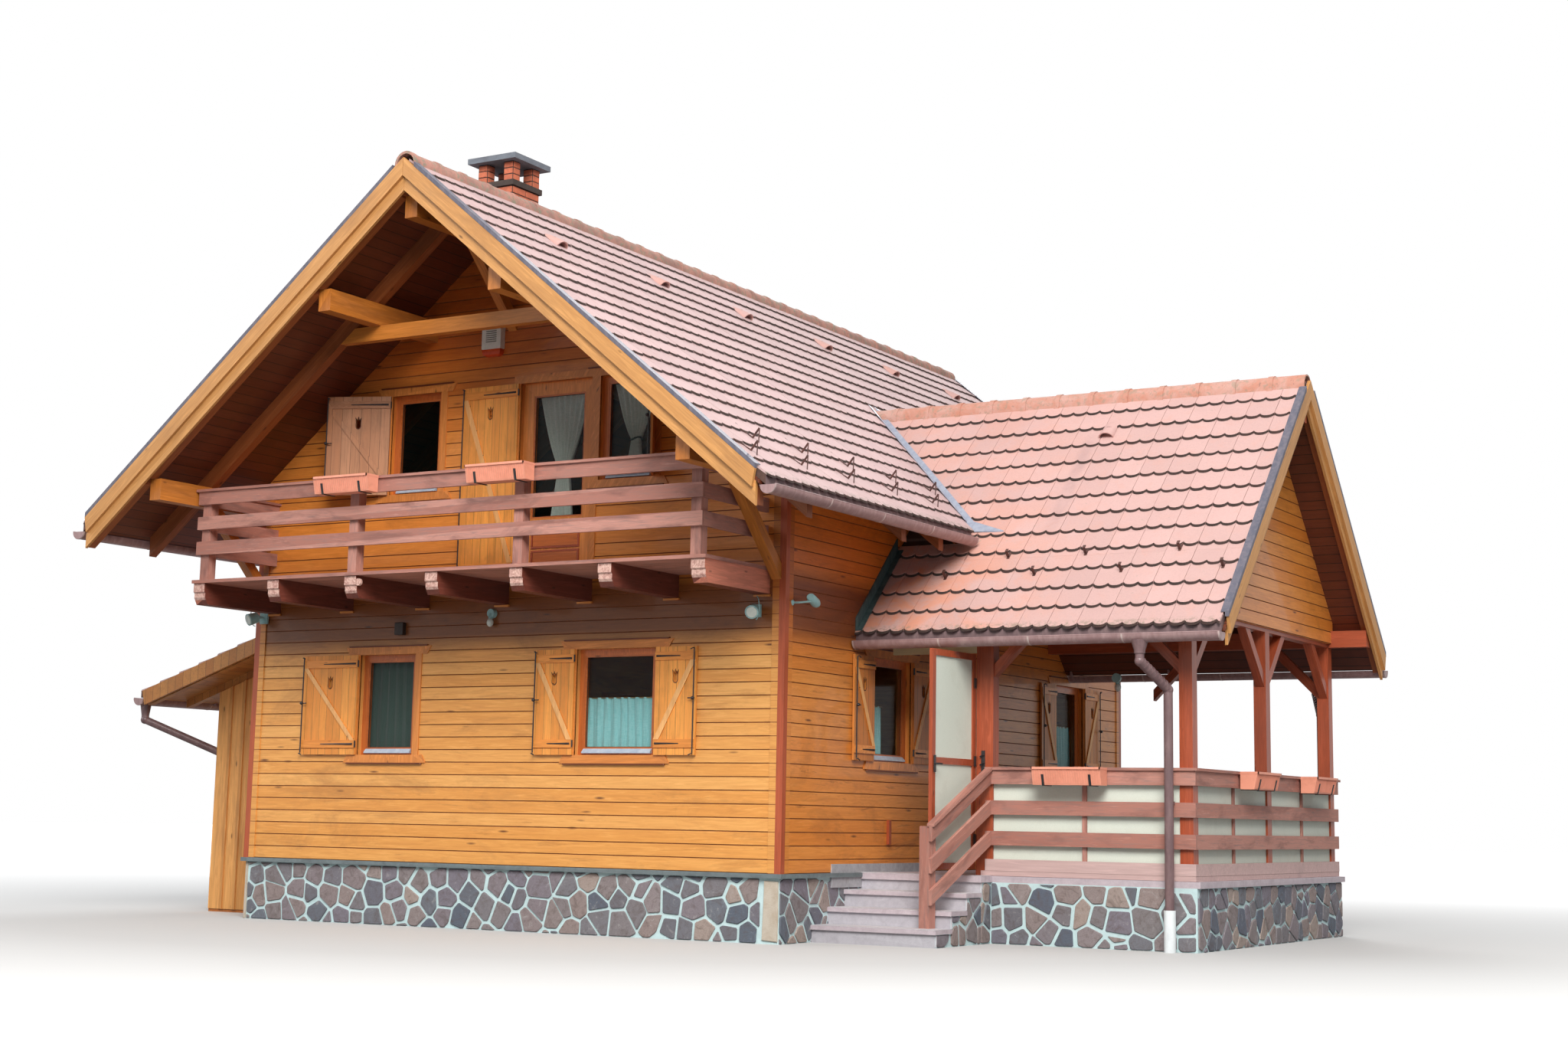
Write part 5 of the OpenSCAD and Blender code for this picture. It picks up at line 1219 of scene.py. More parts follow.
def porch_spot(x, u, side=-1):
    sine = PORCH_M * PORCH_COS
    return lambda a, b, h: (x + a, PORCH_MID + side * (u + b * PORCH_COS + h * sine),
                            porch_z(u, -0.006) - b * sine + h * PORCH_COS)


class CHALET_OT_roof_vents(bpy.types.Operator):
    """Vent hoods in a row on each slope"""
    bl_idname = "chalet.roof_vents"
    bl_label = "Roof Vents"

    def execute(self, context):
        maker = Maker()
        for side in (-1, 1):
            for y in (-0.34, 1.54, 3.28, 5.16, 6.93, 8.71):
                if side < 0 and y < 1:
                    continue
                vent_hood(maker, main_spot(0.83, y, side), 0.17, 0.26, 0.075)
            vent_hood(maker, porch_spot(5.148, 0.56, side), 0.17, 0.26, 0.075)
        maker.piece("vent_hoods", ["salmon_clay", "vent_inside"], "roof_tile", smooth=True)
        return {"FINISHED"}


class CHALET_OT_snow_irons(bpy.types.Operator):
    """Snow guards over the main eaves and small snow hooks on the porch"""
    bl_idname = "chalet.snow_irons"
    bl_label = "Snow Guards"

    def execute(self, context):
        maker = Maker()
        for side in (-1, 1):
            for x, first in ((3.61, -1.12), (3.85, -1.54)):
                for y in (first + i * 0.888 for i in range(13)):
                    if side < 0 or not 2.6 < y < 5.6:
                        place = main_spot(x, y, side)
                        for start, end, radius in (
                                ((0, -0.24, 0.002), (0, 0, 0.002), 0.004), ((0, 0, 0), (0, 0, 0.115), 0.0095),
                                ((0, 0, 0.115), (0, 0.085, 0), 0.0055),
                                ((-0.10, -0.13, 0.004), (0, 0, 0.012), 0.003)):
                            maker.tube([place(*start), place(*end)], radius, 6)
        for side in (-1, 1):
            for u, xs in ((2.10, (4.05, 5.02, 5.93, 6.95)), (1.90, (4.65, 5.48, 6.45))):
                for x in xs:
                    place = porch_spot(x, u, side)
                    slab(maker, place, oblong(-0.014, 0.014, -0.17, 0.03), -0.004, 0.003)
                    maker.plug(place, oblong(-0.014, 0.014, 0.0, 0.006), (0.002, 0.075))
                    maker.plug(place, oblong(-0.014, 0.014, -0.035, 0.006), (0.072, 0.078))
        maker.piece("snow_irons", ["rust_brown_iron"], "sheet_metal")
        return {"FINISHED"}


def shutter_iron(maker, hinge, out, along, foot, height, hanging):
    """Ironwork of a shutter: a rod at its free edge with a knob and hooks. Out and along are directions."""
    free = hinge + along * (hanging - 0.012) + out * 0.046
    knob = UP * (foot + height * 0.52)
    maker.tube([free + UP * (foot + 0.02), free + UP * (foot + height - 0.02)], 0.0065, 8)
    maker.lump(free + out * 0.012 + knob, (0.02, 0.02, 0.017))
    maker.tube([free + knob, free - along * 0.06 + out * 0.008 + knob], 0.006, 8)
    for z in (foot + 0.012, foot + height - 0.02):
        maker.tube([free + UP * z, free + out * 0.02 + UP * z,
                    free + out * 0.02 - along * 0.03 + UP * (z - 0.012)], 0.006, 8)
    for z in (foot + 0.11, foot + height - 0.09):
        at = hinge + out * 0.034
        maker.tube([at + along * 0.02 + UP * z, at + along * (hanging * 0.62) + UP * z], [0.011, 0.005], 6)
        maker.tube([hinge + out * 0.02 + UP * (z - 0.035), hinge + out * 0.02 + UP * (z + 0.035)], 0.010, 8)


def tulip_rim(maker, centre, out, along):
    """The dark cut edge around a shutter's tulip hole: a band on the shutter's face, dark partly as painted
    shade in the hole's edge.
    """
    right = [(16, -50), (26, -32), (25, 8), (31, 60), (13, 34)]
    outline = [(0, -56), *right, (0, 66), *((-u, v) for u, v in reversed(right))]
    rings = [[tuple(centre + (along * u + UP * v) * (grow / 1000) + out * lift) for u, v in outline]
             for grow, lift in ((1.0, 0.0), (1.16, 0.0), (1.16, 0.0025), (1.0, 0.0035))]
    maker.skin(rings, order="sides", around=True)


class CHALET_OT_shutter_irons(bpy.types.Operator):
    """Rods, hinges and the rims of the tulip holes on every shutter"""
    bl_idname = "chalet.shutter_irons"
    bl_label = "Shutter Ironwork"

    def execute(self, context):
        irons, rims = Maker(), Maker()
        lap, flush = 0.014, 0.024

        def leaf(place, out, along, foot, height, wide):
            hinge, out, along = Vector(place), Vector(out), Vector(along)
            shutter_iron(irons, hinge, out, along, foot, height, wide)
            tulip_rim(rims, hinge + along * (wide / 2) + out * 0.022 + UP * (foot + height - 0.29), out,
                      along)

        def front_leaf(x, side, foot, height, wide, swing=0):
            turn = math.radians(swing)
            leaf((x, -flush, 0), (-side * math.sin(turn), -math.cos(turn), 0),
                 (side * math.cos(turn), -math.sin(turn), 0), foot, height, wide)
        for x0, x1, foot, head in FRONT_OPENINGS:
            single = x1 - x0 < 0.8
            front_leaf(x0 - lap, -1, foot, head - foot, x1 - x0 if single else (x1 - x0) / 2)
            if not single:
                front_leaf(x1 + lap, 1, foot, head - foot, (x1 - x0) / 2)
        front_leaf(-1.574, -1, 4.46, 1.06, 0.70, 22)
        front_leaf(1.814, 1, 4.46, 1.06, 0.33, 60)
        front_leaf(0.126, -1, 3.52, 2.0, 0.70)
        for side, openings in ((1, RIGHT_OPENINGS), (-1, LEFT_OPENINGS)):
            for y0, y1, foot, head in openings:
                for y, along in ((y0 - lap, -1), (y1 + lap, 1)):
                    leaf((side * (HALF_W + flush), y, 0), (side, 0, 0), (0, along, 0), foot, head - foot,
                         (y1 - y0) / 2)
        for x0, x1, foot, head in BACK_OPENINGS:
            for x, along in ((x0 - lap, -1), (x1 + lap, 1)):
                leaf((x, LENGTH + flush, 0), (0, 1, 0), (along, 0, 0), foot, head - foot, (x1 - x0) / 2)
        irons.piece("shutter_irons", ["black_iron"], "shutter_wood", smooth=True)
        rims.piece("tulip_rims", ["dark_cut_wood"], "shutter_wood", grain=UP)
        return {"FINISHED"}


class CHALET_OT_window_fittings(bpy.types.Operator):
    """Drip sills, shelf boards under and over the windows, glazing beads, and the balcony door's panels"""
    bl_idname = "chalet.window_fittings"
    bl_label = "Window Fittings"

    def execute(self, context):
        drips, shelves, beads, gaskets = Maker(), Maker(), Maker(), Maker()
        for face, openings in ((front_face, FRONT_OPENINGS + FRONT_UPPER), (back_face, BACK_OPENINGS),
                               (right_face, RIGHT_OPENINGS), (left_face, LEFT_OPENINGS)):
            for a0, a1, foot, head in openings:
                profile = [(-0.050, 0.062), (-0.046, 0.064), (-0.012, 0.030), (-0.012, 0.018),
                           (-0.050, 0.018)]
                drips.sweep(lambda a, h, v: face(a, foot + v, h), profile, (a0 + 0.064, a1 - 0.064))
                for z, low_lap, high_lap in ((foot - 0.096, 0.135, 0.128), (head + 0.080, 0.150, 0.158)):
                    slab(shelves, face, [(a0 - low_lap, z), (a1 + low_lap, z), (a1 + high_lap, z + 0.014),
                                         (a0 - high_lap, z + 0.014)], 0.010, 0.038, 0.003)
                self.bead(beads, gaskets, face, a0 + 0.062, a1 - 0.062, foot + 0.062, head - 0.062)
        x0, x1, foot, head = BALCONY_DOOR
        self.bead(beads, gaskets, front_face, x0 + 0.13, x1 - 0.13, foot + 0.62, head - 0.13)
        profile = [(-0.050, 0.10), (-0.046, 0.10), (-0.020, 0.07), (-0.020, 0.055), (-0.050, 0.055)]
        drips.sweep(lambda a, h, v: front_face(a, foot + 0.50 + v, h), profile, (x0 + 0.14, x1 - 0.14))
        for low, high in ((foot + 0.11, foot + 0.27), (foot + 0.33, foot + 0.50)):
            slab(shelves, front_face, oblong(x0 + 0.17, x1 - 0.17, low, high), -0.050, -0.038, 0.008, 1)
            for around in ((x0 + 0.15, x1 - 0.15, low - 0.02, low), (x0 + 0.15, x1 - 0.15, high, high + 0.02),
                           (x0 + 0.15, x0 + 0.17, low, high), (x1 - 0.17, x1 - 0.15, low, high)):
                slab(shelves, front_face, oblong(*around), -0.050, -0.036, 0.004, 2)
        drips.piece("drip_sills", ["pale_sill_metal"], "sheet_metal")
        shelves.piece("sill_shelves", ["dark_shelf", "window_wood_%d", "red_brown_%d"], "trim_wood",
                      grain=ALONG)
        beads.piece("glazing_beads", ["window_wood_%d"], "red_brown_wood", grain=ALONG)
        gaskets.piece("pane_gaskets", ["black_gasket"], "pane_glass")
        return {"FINISHED"}

    def bead(self, beads, gaskets, place, a0, a1, b0, b1):
        """A mitred bead and a thin black gasket around a pane."""
        for maker, wide, low, high, step in ((beads, 0.016, -0.066, -0.052, 0.0),
                                             (gaskets, 0.005, -0.068, -0.064, 0.016)):
            outer = oblong(a0 + step, a1 - step, b0 + step, b1 - step)
            inner = oblong(a0 + step + wide, a1 - step - wide, b0 + step + wide, b1 - step - wide)
            for i in range(4):
                j = (i + 1) % 4
                slab(maker, place, [outer[i], outer[j], inner[j], inner[i]], low, high)


def curtain(name, place, a0, a1, foot, head, folds, deep, finish, tie=None):
    """A hanging curtain as one thin sheet with gathered folds, drawn in at a tie if one is given. Returns the
    piece and its flat size."""
    dice = random.Random(name)
    maker = Maker()
    columns, rows = folds * 10, 40
    sway = [dice.uniform(-0.5, 0.5) for _ in range(folds + 1)]
    width, height = a1 - a0, head - foot
    cloth, ripple = 1.24 * width / folds, 0.06 if tie else 0.25
    for v in (r / rows for r in range(rows + 1)):
        z = foot + height * v
        pull, shift = 1.0, 0.0
        if tie:
            at, narrow, lean = tie
            near = (z - at) / (head - at) if z > at else (at - z) / (at - foot)
            ease = near ** (0.72 if z > at else 1.0)
            pull = narrow + ((1.0 if z > at else 0.42) - narrow) * ease
            shift = lean * (1 - ease)
            # The cloth of one fold keeps its width, so folds that are pulled together run deeper
            deep = math.sqrt(cloth ** 2 - (pull * width / folds) ** 2) / 4
        for u in (c / columns for c in range(columns + 1)):
            wave = math.sin(math.tau * folds * u + 0.6 * math.sin(3 * v + u * 7) + sway[int(u * folds)])
            wave += ripple * math.sin(math.tau * folds * 2.3 * u + 4 * v)
            a = (a0 + a1) / 2 + ((u - 0.5) * pull + shift) * width
            maker.corners.append(place(a, z + 0.004 * math.sin(9 * u + 3) * (1 - v),
                                       CURTAIN_LINE + deep * wave))
    for r in range(rows):
        for k in range(r * (columns + 1), r * (columns + 1) + columns):
            maker.face((k, k + 1, k + columns + 2, k + columns + 1))
    made = maker.piece(name, [finish], "pane_glass", smooth=True, sharpen=False)
    flat = sum(face.area for face in made.data.polygons) / height
    return made, (round(flat, 3), round(height, 3))


class CHALET_OT_curtains(bpy.types.Operator):
    """Hangs the curtains and their rods behind the panes"""
    bl_idname = "chalet.curtains"
    bl_label = "Curtains"

    def execute(self, context):
        rods, ties = Maker(), Maker()
        sea, pale = "turquoise_cotton", "pale_green_cotton"
        # Where each one hangs, its folds and their depth, its cloth, and its tie's height, width and lean
        for name, face, a0, a1, foot, head, folds, deep, finish, tie in (
                ("curtain_ground_right", front_face, 1.00, 1.85, 1.76, 2.30, 9, 0.012, sea, None),
                ("curtain_ground_left", front_face, -1.80, -1.13, 1.76, 2.72, 6, 0.008, "grey_net", None),
                ("curtain_side_front", right_face, 1.80, 2.22, 1.76, 2.30, 5, 0.012, sea, None),
                ("curtain_side_rear", right_face, 6.33, 7.07, 1.76, 2.30, 8, 0.012, sea, None),
                ("curtain_balcony_door", front_face, 0.27, 0.91, 4.13, 5.42, 8, None, pale,
                 (4.66, 0.20, 0.02)),
                ("curtain_upper_right", front_face, 1.20, 1.74, 4.50, 5.48, 7, None, pale,
                 (4.88, 0.18, 0.02))):
            rod = [face(a, head - 0.004, CURTAIN_LINE) for a in (a0 - 0.02, a1 + 0.02)]
            rods.tube(rod, 0.006, 10)
            for end in rod:
                rods.lump(end, (0.011, 0.011, 0.011))
            made, flat = curtain(name, face, a0, a1, foot, head, folds, deep, finish, tie)
            if tie:
                at, narrow, lean = tie
                middle = (a0 + a1) / 2 + lean * (a1 - a0)
                half = narrow * (a1 - a0) / 2 + 0.012
                ties.tube([face(middle + half * math.cos(t), at + 0.010 * math.sin(2 * t),
                                CURTAIN_LINE + 0.032 * math.sin(t))
                           for t in (math.tau * k / 24 for k in range(25))], 0.010, 8)
        rods.piece("curtain_rods", ["brass_rod"], "pane_glass", smooth=True)
        ties.piece("curtain_ties", ["dark_green_cord"], "pane_glass", smooth=True)
        return {"FINISHED"}


class CHALET_OT_step_tiles(bpy.types.Operator):
    """Floor tiles on the treads and landing, their nosings, and the skirting along the wall"""
    bl_idname = "chalet.step_tiles"
    bl_label = "Step Tiles"

    def execute(self, context):
        maker = Maker()
        dice = random.Random(3)
        for level in range(4):
            y0, y1, z = 0.574 + level * 0.319, 0.918 + level * 0.319, 0.16 * (level + 1)
            y1 = min(y1, 1.76) if level < 3 else 1.775
            for i in range(4):
                a0, a1 = 3.335 + i * 0.328, 3.335 + (i + 1) * 0.328 - 0.004
                maker.box(a0, a1, y0 + 0.001, y1 - 0.003, z, z + 0.004 + dice.uniform(0, 0.001), 0, 0.0015)
                maker.box(a0, a1, y0 + 0.030, y0 + 0.035, z - 0.155, z - 0.045, 0, 0.001)
        starts = [0.95] + [1.284 + i * 0.33 for i in range(6)]
        for y0, y1 in zip(starts, [start - 0.004 for start in starts[1:]] + [3.10]):
            low = 0.64 if y0 > 1.5 else 0.50
            maker.box(HALF_W + 0.001, HALF_W + 0.026, y0, y1, low, 0.725, 1, 0.002)
        maker.piece("step_tiles", ["grey_floor_tile", "skirting_tile"], "step_stone")
        return {"FINISHED"}


class CHALET_OT_lamps(bpy.types.Operator):
    """Spotlights at the corners, bulbs under the balcony and porch, a vent box, and the alarm box"""
    bl_idname = "chalet.lamps"
    bl_label = "Lamps And Alarm Box"

    def execute(self, context):
        shell, glass, alarm = Maker(), Maker(), Maker()

        def spot(place):
            shell.plug(place, oblong(-0.055, 0.055, -0.06, 0.06), (0.012, 0.034))
            shell.tube([place(0.0, 0.0, 0.03), place(0.02, 0.01, 0.09)], 0.014)
            centre = Vector(place(0.02, 0.01, 0.09))
            ahead = (Vector(place(0.09, -0.09, 0.30)) - Vector(place(0, 0, 0.05))).normalized()
            shell.tube([centre + ahead * far for far in (0, 0.02, 0.12, 0.125)], [0.03, 0.058, 0.064, 0.066],
                       18)
            glass.tube([centre + ahead * 0.1255, centre + ahead * 0.132], [0.054, 0.050], 18)
            shell.tube([place(0.05 + 0.05 * math.cos(t), 0.02 + 0.11 * math.sin(t), 0.10 + 0.03 * math.cos(t))
                        for t in (math.pi * (k / 10 - 0.5) for k in range(11))], 0.005, 6)
        spot(lambda a, b, h: (3.02 + a, -h, 3.09 + b))
        spot(lambda a, b, h: (-3.22 - a, -h - 0.012, 3.20 + b))

        def eye(a, b, h):
            return (HALF_W + h, 0.22 + a, 3.19 + b)
        shell.tube([eye(-0.11, -0.02, 0.012), eye(-0.10, -0.02, 0.09), eye(0.03, 0.0, 0.15)], 0.010, 8)
        shell.lump(eye(-0.11, -0.02, 0.018), (0.022, 0.030, 0.030))
        shell.skin([[eye(t * 0.8 + r * 0.3 * math.sin(k), 0.04 + r * math.cos(k) - t * 0.35,
                         0.15 + r * math.sin(k))
                     for k in (math.tau * i / 16 for i in range(16))]
                    for t, r in ((0.0, 0.030), (0.02, 0.042), (0.13, 0.046), (0.15, 0.040))])
        for place in (lambda a, b, h: (-0.112 + a, -h - 0.012, 3.10 + b),
                      lambda a, b, h: (5.02 + a, 4.03 + h, 2.62 + b)):
            shell.tube([place(0, 0.06, 0.0), place(0, 0.06, 0.05)], [0.05, 0.045], 16)
            shell.tube([place(0, 0.05, 0.03), place(0, 0.0, 0.05)], [0.026, 0.022], 14)
            glass.lump(place(0, -0.035, 0.05), (0.035, 0.035, 0.045), 3)
        shell.box(-1.36, -1.25, -0.065, -0.011, 2.97, 3.10, 1, 0.006)
        alarm.box(-0.345, -0.100, -0.085, -0.011, 5.905, 6.185, 0, 0.010)
        for i in range(7):
            alarm.box(-0.29, -0.155, -0.088, -0.084, 5.98 + i * 0.022, 5.990 + i * 0.022, 2, 0.001)
        alarm.skin([[(a, b, z) for a, b in oblong(
            -0.345 + inset, -0.100 - inset, -0.085 + inset * 0.6, -0.011)]
                    for z, inset in ((5.835, 0.045), (5.850, 0.018), (5.880, 0.006), (5.906, 0.004))], 1)
        shell.piece("lamp_shells", ["turquoise_enamel", "dark_box_plastic"], "gutter_metal", smooth=True)
        glass.piece("lamp_glass", ["lamp_lens"], "pane_glass", smooth=True)
        alarm.piece("alarm_box", ["white_alarm_plastic", "orange_lens", "alarm_slots"],
                    "planter_plastic")
        return {"FINISHED"}


BOX_SPOTS = [(-1.035, -1.206, 4.28, 0), (0.89, -1.206, 4.28, 0), (5.49, 1.772, 1.51, 0),
             (6.728, 3.33, 1.51, 1), (6.728, 5.23, 1.51, 1)]


class CHALET_OT_flower_box_trim(bpy.types.Operator):
    """Ribs, rims and hangers of the five flower boxes"""
    bl_idname = "chalet.flower_box_trim"
    bl_label = "Flower Box Trim"

    def execute(self, context):
        ribs, hangers = Maker(), Maker()
        for x, y, z, end in BOX_SPOTS:
            def place(a, out, up):
                return (x + out, y + a, z + up) if end else (x + a, y - out, z + up)

            def block(maker, a0, a1, low, high, foot, head, lean=(0.0, 0.0)):
                maker.solid(*([place(a, out + lean_out, up) for a, out in oblong(a0, a1, low, high)]
                              for up, lean_out in zip((foot, head), lean)))
            for i in range(27):
                a = -0.325 + i * 0.025
                block(ribs, a - 0.004, a + 0.004, 0.138, 0.143, 0.012, 0.148, (0.003, 0.035))
            for a0, a1, low in ((-0.352, 0.352, 0.176), (-0.352, -0.342, 0.0), (0.342, 0.352, 0.0)):
                block(ribs, a0, a1, low, 0.186, 0.148, 0.170)
            for a in (-0.24, 0.24):
                block(hangers, a - 0.012, a + 0.012, 0.142, 0.148, -0.004, 0.10, (0.0, 0.026))
                block(hangers, a - 0.012, a + 0.012, -0.03, 0.146, -0.008, -0.002)
        ribs.piece("flower_box_ribs", ["terracotta_plastic"], "planter_plastic")
        hangers.piece("flower_box_hangers", ["black_iron"], "planter_plastic")
        return {"FINISHED"}


class CHALET_OT_gutter_bands(bpy.types.Operator):
    """Bands, end caps and rims on the gutters, and the funnels and elbow ribs of the porch downpipes"""
    bl_idname = "chalet.gutter_bands"
    bl_label = "Gutter Bands"

    def execute(self, context):
        maker = Maker()
        angles = [math.pi + math.pi * k / 14 for k in range(15)]
        main = 3.984
        for place, start, end in (
                (lambda c, s, t: (4.199 + c, t, main + s), -1.82, 2.232),
                (lambda c, s, t: (4.199 + c, t, main + s), 5.828, 10.12),
                (lambda c, s, t: (-4.199 - c, t, main + s), -1.82, 10.12),
                (lambda c, s, t: (t, 1.351 - c, 2.894 + s), 3.348, 7.14),
                (lambda c, s, t: (t, 6.709 + c, 2.894 + s), 3.348, 7.14),
                (lambda c, s, t: (-5.379 - c, t, 2.378 + s), 0.28, 5.72)):
            # The lean-to's gutter is the outermost part of the house, so its bands don't stand proud of it
            reach = 0.0778 if start == 0.28 else 0.0805
            count = max(2, round(end - start))
            for i in range(count + 1):
                t = min(max(start + (end - start) * i / count, start + 0.010), end - 0.010)
                profile = [(reach * math.cos(k), 0.0805 * math.sin(k)) for k in angles]
                profile += [(0.0765 * math.cos(k), 0.0765 * math.sin(k)) for k in reversed(angles)]
                maker.sweep(lambda at, c, s: place(c, s, at), profile, (t - 0.008, t + 0.008), 2)
            maker.tube([place(reach - 0.0066, 0.001, at) for at in (start + 0.002, end - 0.002)], 0.0065, 8)
            cap = [((reach - 0.001) * math.cos(k), 0.0795 * math.sin(k)) for k in angles]
            for stations in ((start + 0.001, start + 0.004), (end - 0.001, end - 0.004)):
                maker.sweep(lambda at, c, s: place(c, s, at), cap, stations, 1)
        for side in (-1, 1):
            out = PORCH_MID + side * 2.679
            maker.tube([(6.34, out, z) for z in (2.843, 2.815, 2.745, 2.715)], [0.080, 0.076, 0.054, 0.0525],
                       18, 3)
            top = Vector((6.34, out, 2.650))
            fall = Vector((6.49, PORCH_MID + side * 2.350, 2.405)) - top
            for i in range(9):
                middle, half = top + fall * (i + 0.5) / 9, fall.normalized() * 0.010
                maker.tube([middle - half, middle + half], 0.0495, 14, 3)
        maker.piece("gutter_bands", ["mauve_gutter", "grey_end_cap", "pale_solder_seam", "brown_pipe"],
                    "gutter_metal", smooth=True)
        return {"FINISHED"}


class CHALET_OT_kick_strips(bpy.types.Operator):
    """Strips that close the gap between the porch floor and the kick boards"""
    bl_idname = "chalet.kick_strips"
    bl_label = "Kick Strips"

    def execute(self, context):
        maker = Maker()
        for x0, x1, y0, y1 in ((4.52, 6.704, 1.796, 1.828), (6.672, 6.704, 1.830, 6.230),
                               (3.36, 6.704, 6.232, 6.264)):
            maker.box(x0, x1, y0, y1, LEDGE + 0.0015, LEDGE + 0.0495, 0, 0.002)
        maker.piece("kick_strips", ["pink_kick_board"], "rail_wood")
        return {"FINISHED"}


class CHALET_OT_door_irons(bpy.types.Operator):
    """Latch and hinge leaves of the screen door, the door handles, and the stick on the wall"""
    bl_idname = "chalet.door_irons"
    bl_label = "Door Ironwork"

    def execute(self, context):
        leaf, fixed, stick = Maker(), Maker(), Maker()
        turn = math.radians(88)
        out = Vector((-math.cos(turn), -math.sin(turn), 0))
        side = Vector((math.sin(turn), -math.cos(turn), 0))
        hinge = Vector((4.447, 1.832, 0))

        def on_leaf(a, b, h):
            return tuple(hinge + out * (0.005 + a) - side * (-0.004 - h) + UP * b)
        for z in (0.985, 1.735, 2.495):
            slab(leaf, on_leaf, oblong(0.004, 0.050, z - 0.05, z + 0.05), 0.0, 0.004)
            for dz in (-0.03, 0.03):
                leaf.lump(on_leaf(0.030, z + dz, 0.005), (0.006, 0.006, 0.006), 1)
        z = 1.69
        slab(leaf, on_leaf, oblong(0.828, 0.866, z - 0.08, z + 0.08), 0.0, 0.006)
        leaf.tube([on_leaf(0.847, z, 0.0), on_leaf(0.847, z, 0.045), on_leaf(0.79, z, 0.05)], 0.008)
        leaf.piece("screen_door_irons", ["black_iron"], "sheet_metal", body="screen_door", smooth=True)
        for z in (1.62, 1.70, 1.78):
            fixed.tube([(4.50, 1.822, z), (4.50, 1.800, z), (4.535, 1.800, z + 0.02),
                        (4.535, 1.822, z + 0.02)],
                       0.006, 8)
        slab(fixed, lambda a, b, h: (a, 1.829 - h, b), oblong(4.505, 4.545, 1.58, 1.84), 0.0, 0.005)
        x, y, z = 3.275, 4.05, 1.69
        fixed.tube([(x, y, z), (x + 0.05, y, z), (x + 0.055, y - 0.11, z)], 0.009)
        fixed.tube([(0.205, -0.03, 4.50), (0.205, -0.055, 4.50), (0.205, -0.058, 4.40)], 0.008)
        fixed.piece("door_irons", ["black_iron"], "sheet_metal", smooth=True)
        stick.box(3.333, 3.362, 2.085, 2.135, 0.91, 1.155, 0, 0.004)
        stick.piece("wall_stick", ["red_brown_%d"], "red_brown_wood", grain=UP)
        return {"FINISHED"}


class CHALET_OT_joist_ends(bpy.types.Operator):
    """Worn end boards on the balcony joists and the small blocks where the joists meet the wall"""
    bl_idname = "chalet.joist_ends"
    bl_label = "Joist Ends"

    def execute(self, context):
        maker = Maker()
        profile = [(-1.1615, 3.462), (-1.1615, 3.376), (-1.1455, 3.362), (-1.1455, 3.318), (-1.106, 3.249),
                   (-1.098, 3.249), (-1.136, 3.318), (-1.136, 3.362), (-1.152, 3.376), (-1.152, 3.462)]
        for x in (i * 1.028 for i in range(-3, 4)):
            maker.sweep(lambda x, y, z: (x, y, z), profile, (x - 0.075, x + 0.075))
            maker.box(x - 0.09, x + 0.09, -0.036, -0.013, 3.222, 3.243, 1, 0.002)
        maker.tube([(-0.93, -1.13, 3.40), (-0.93, -1.158, 3.40)], [0.038, 0.036], 16)
        maker.piece("joist_ends", ["worn_end_grain", "casing_wood_%d"], "rail_wood", grain=ALONG)
        return {"FINISHED"}


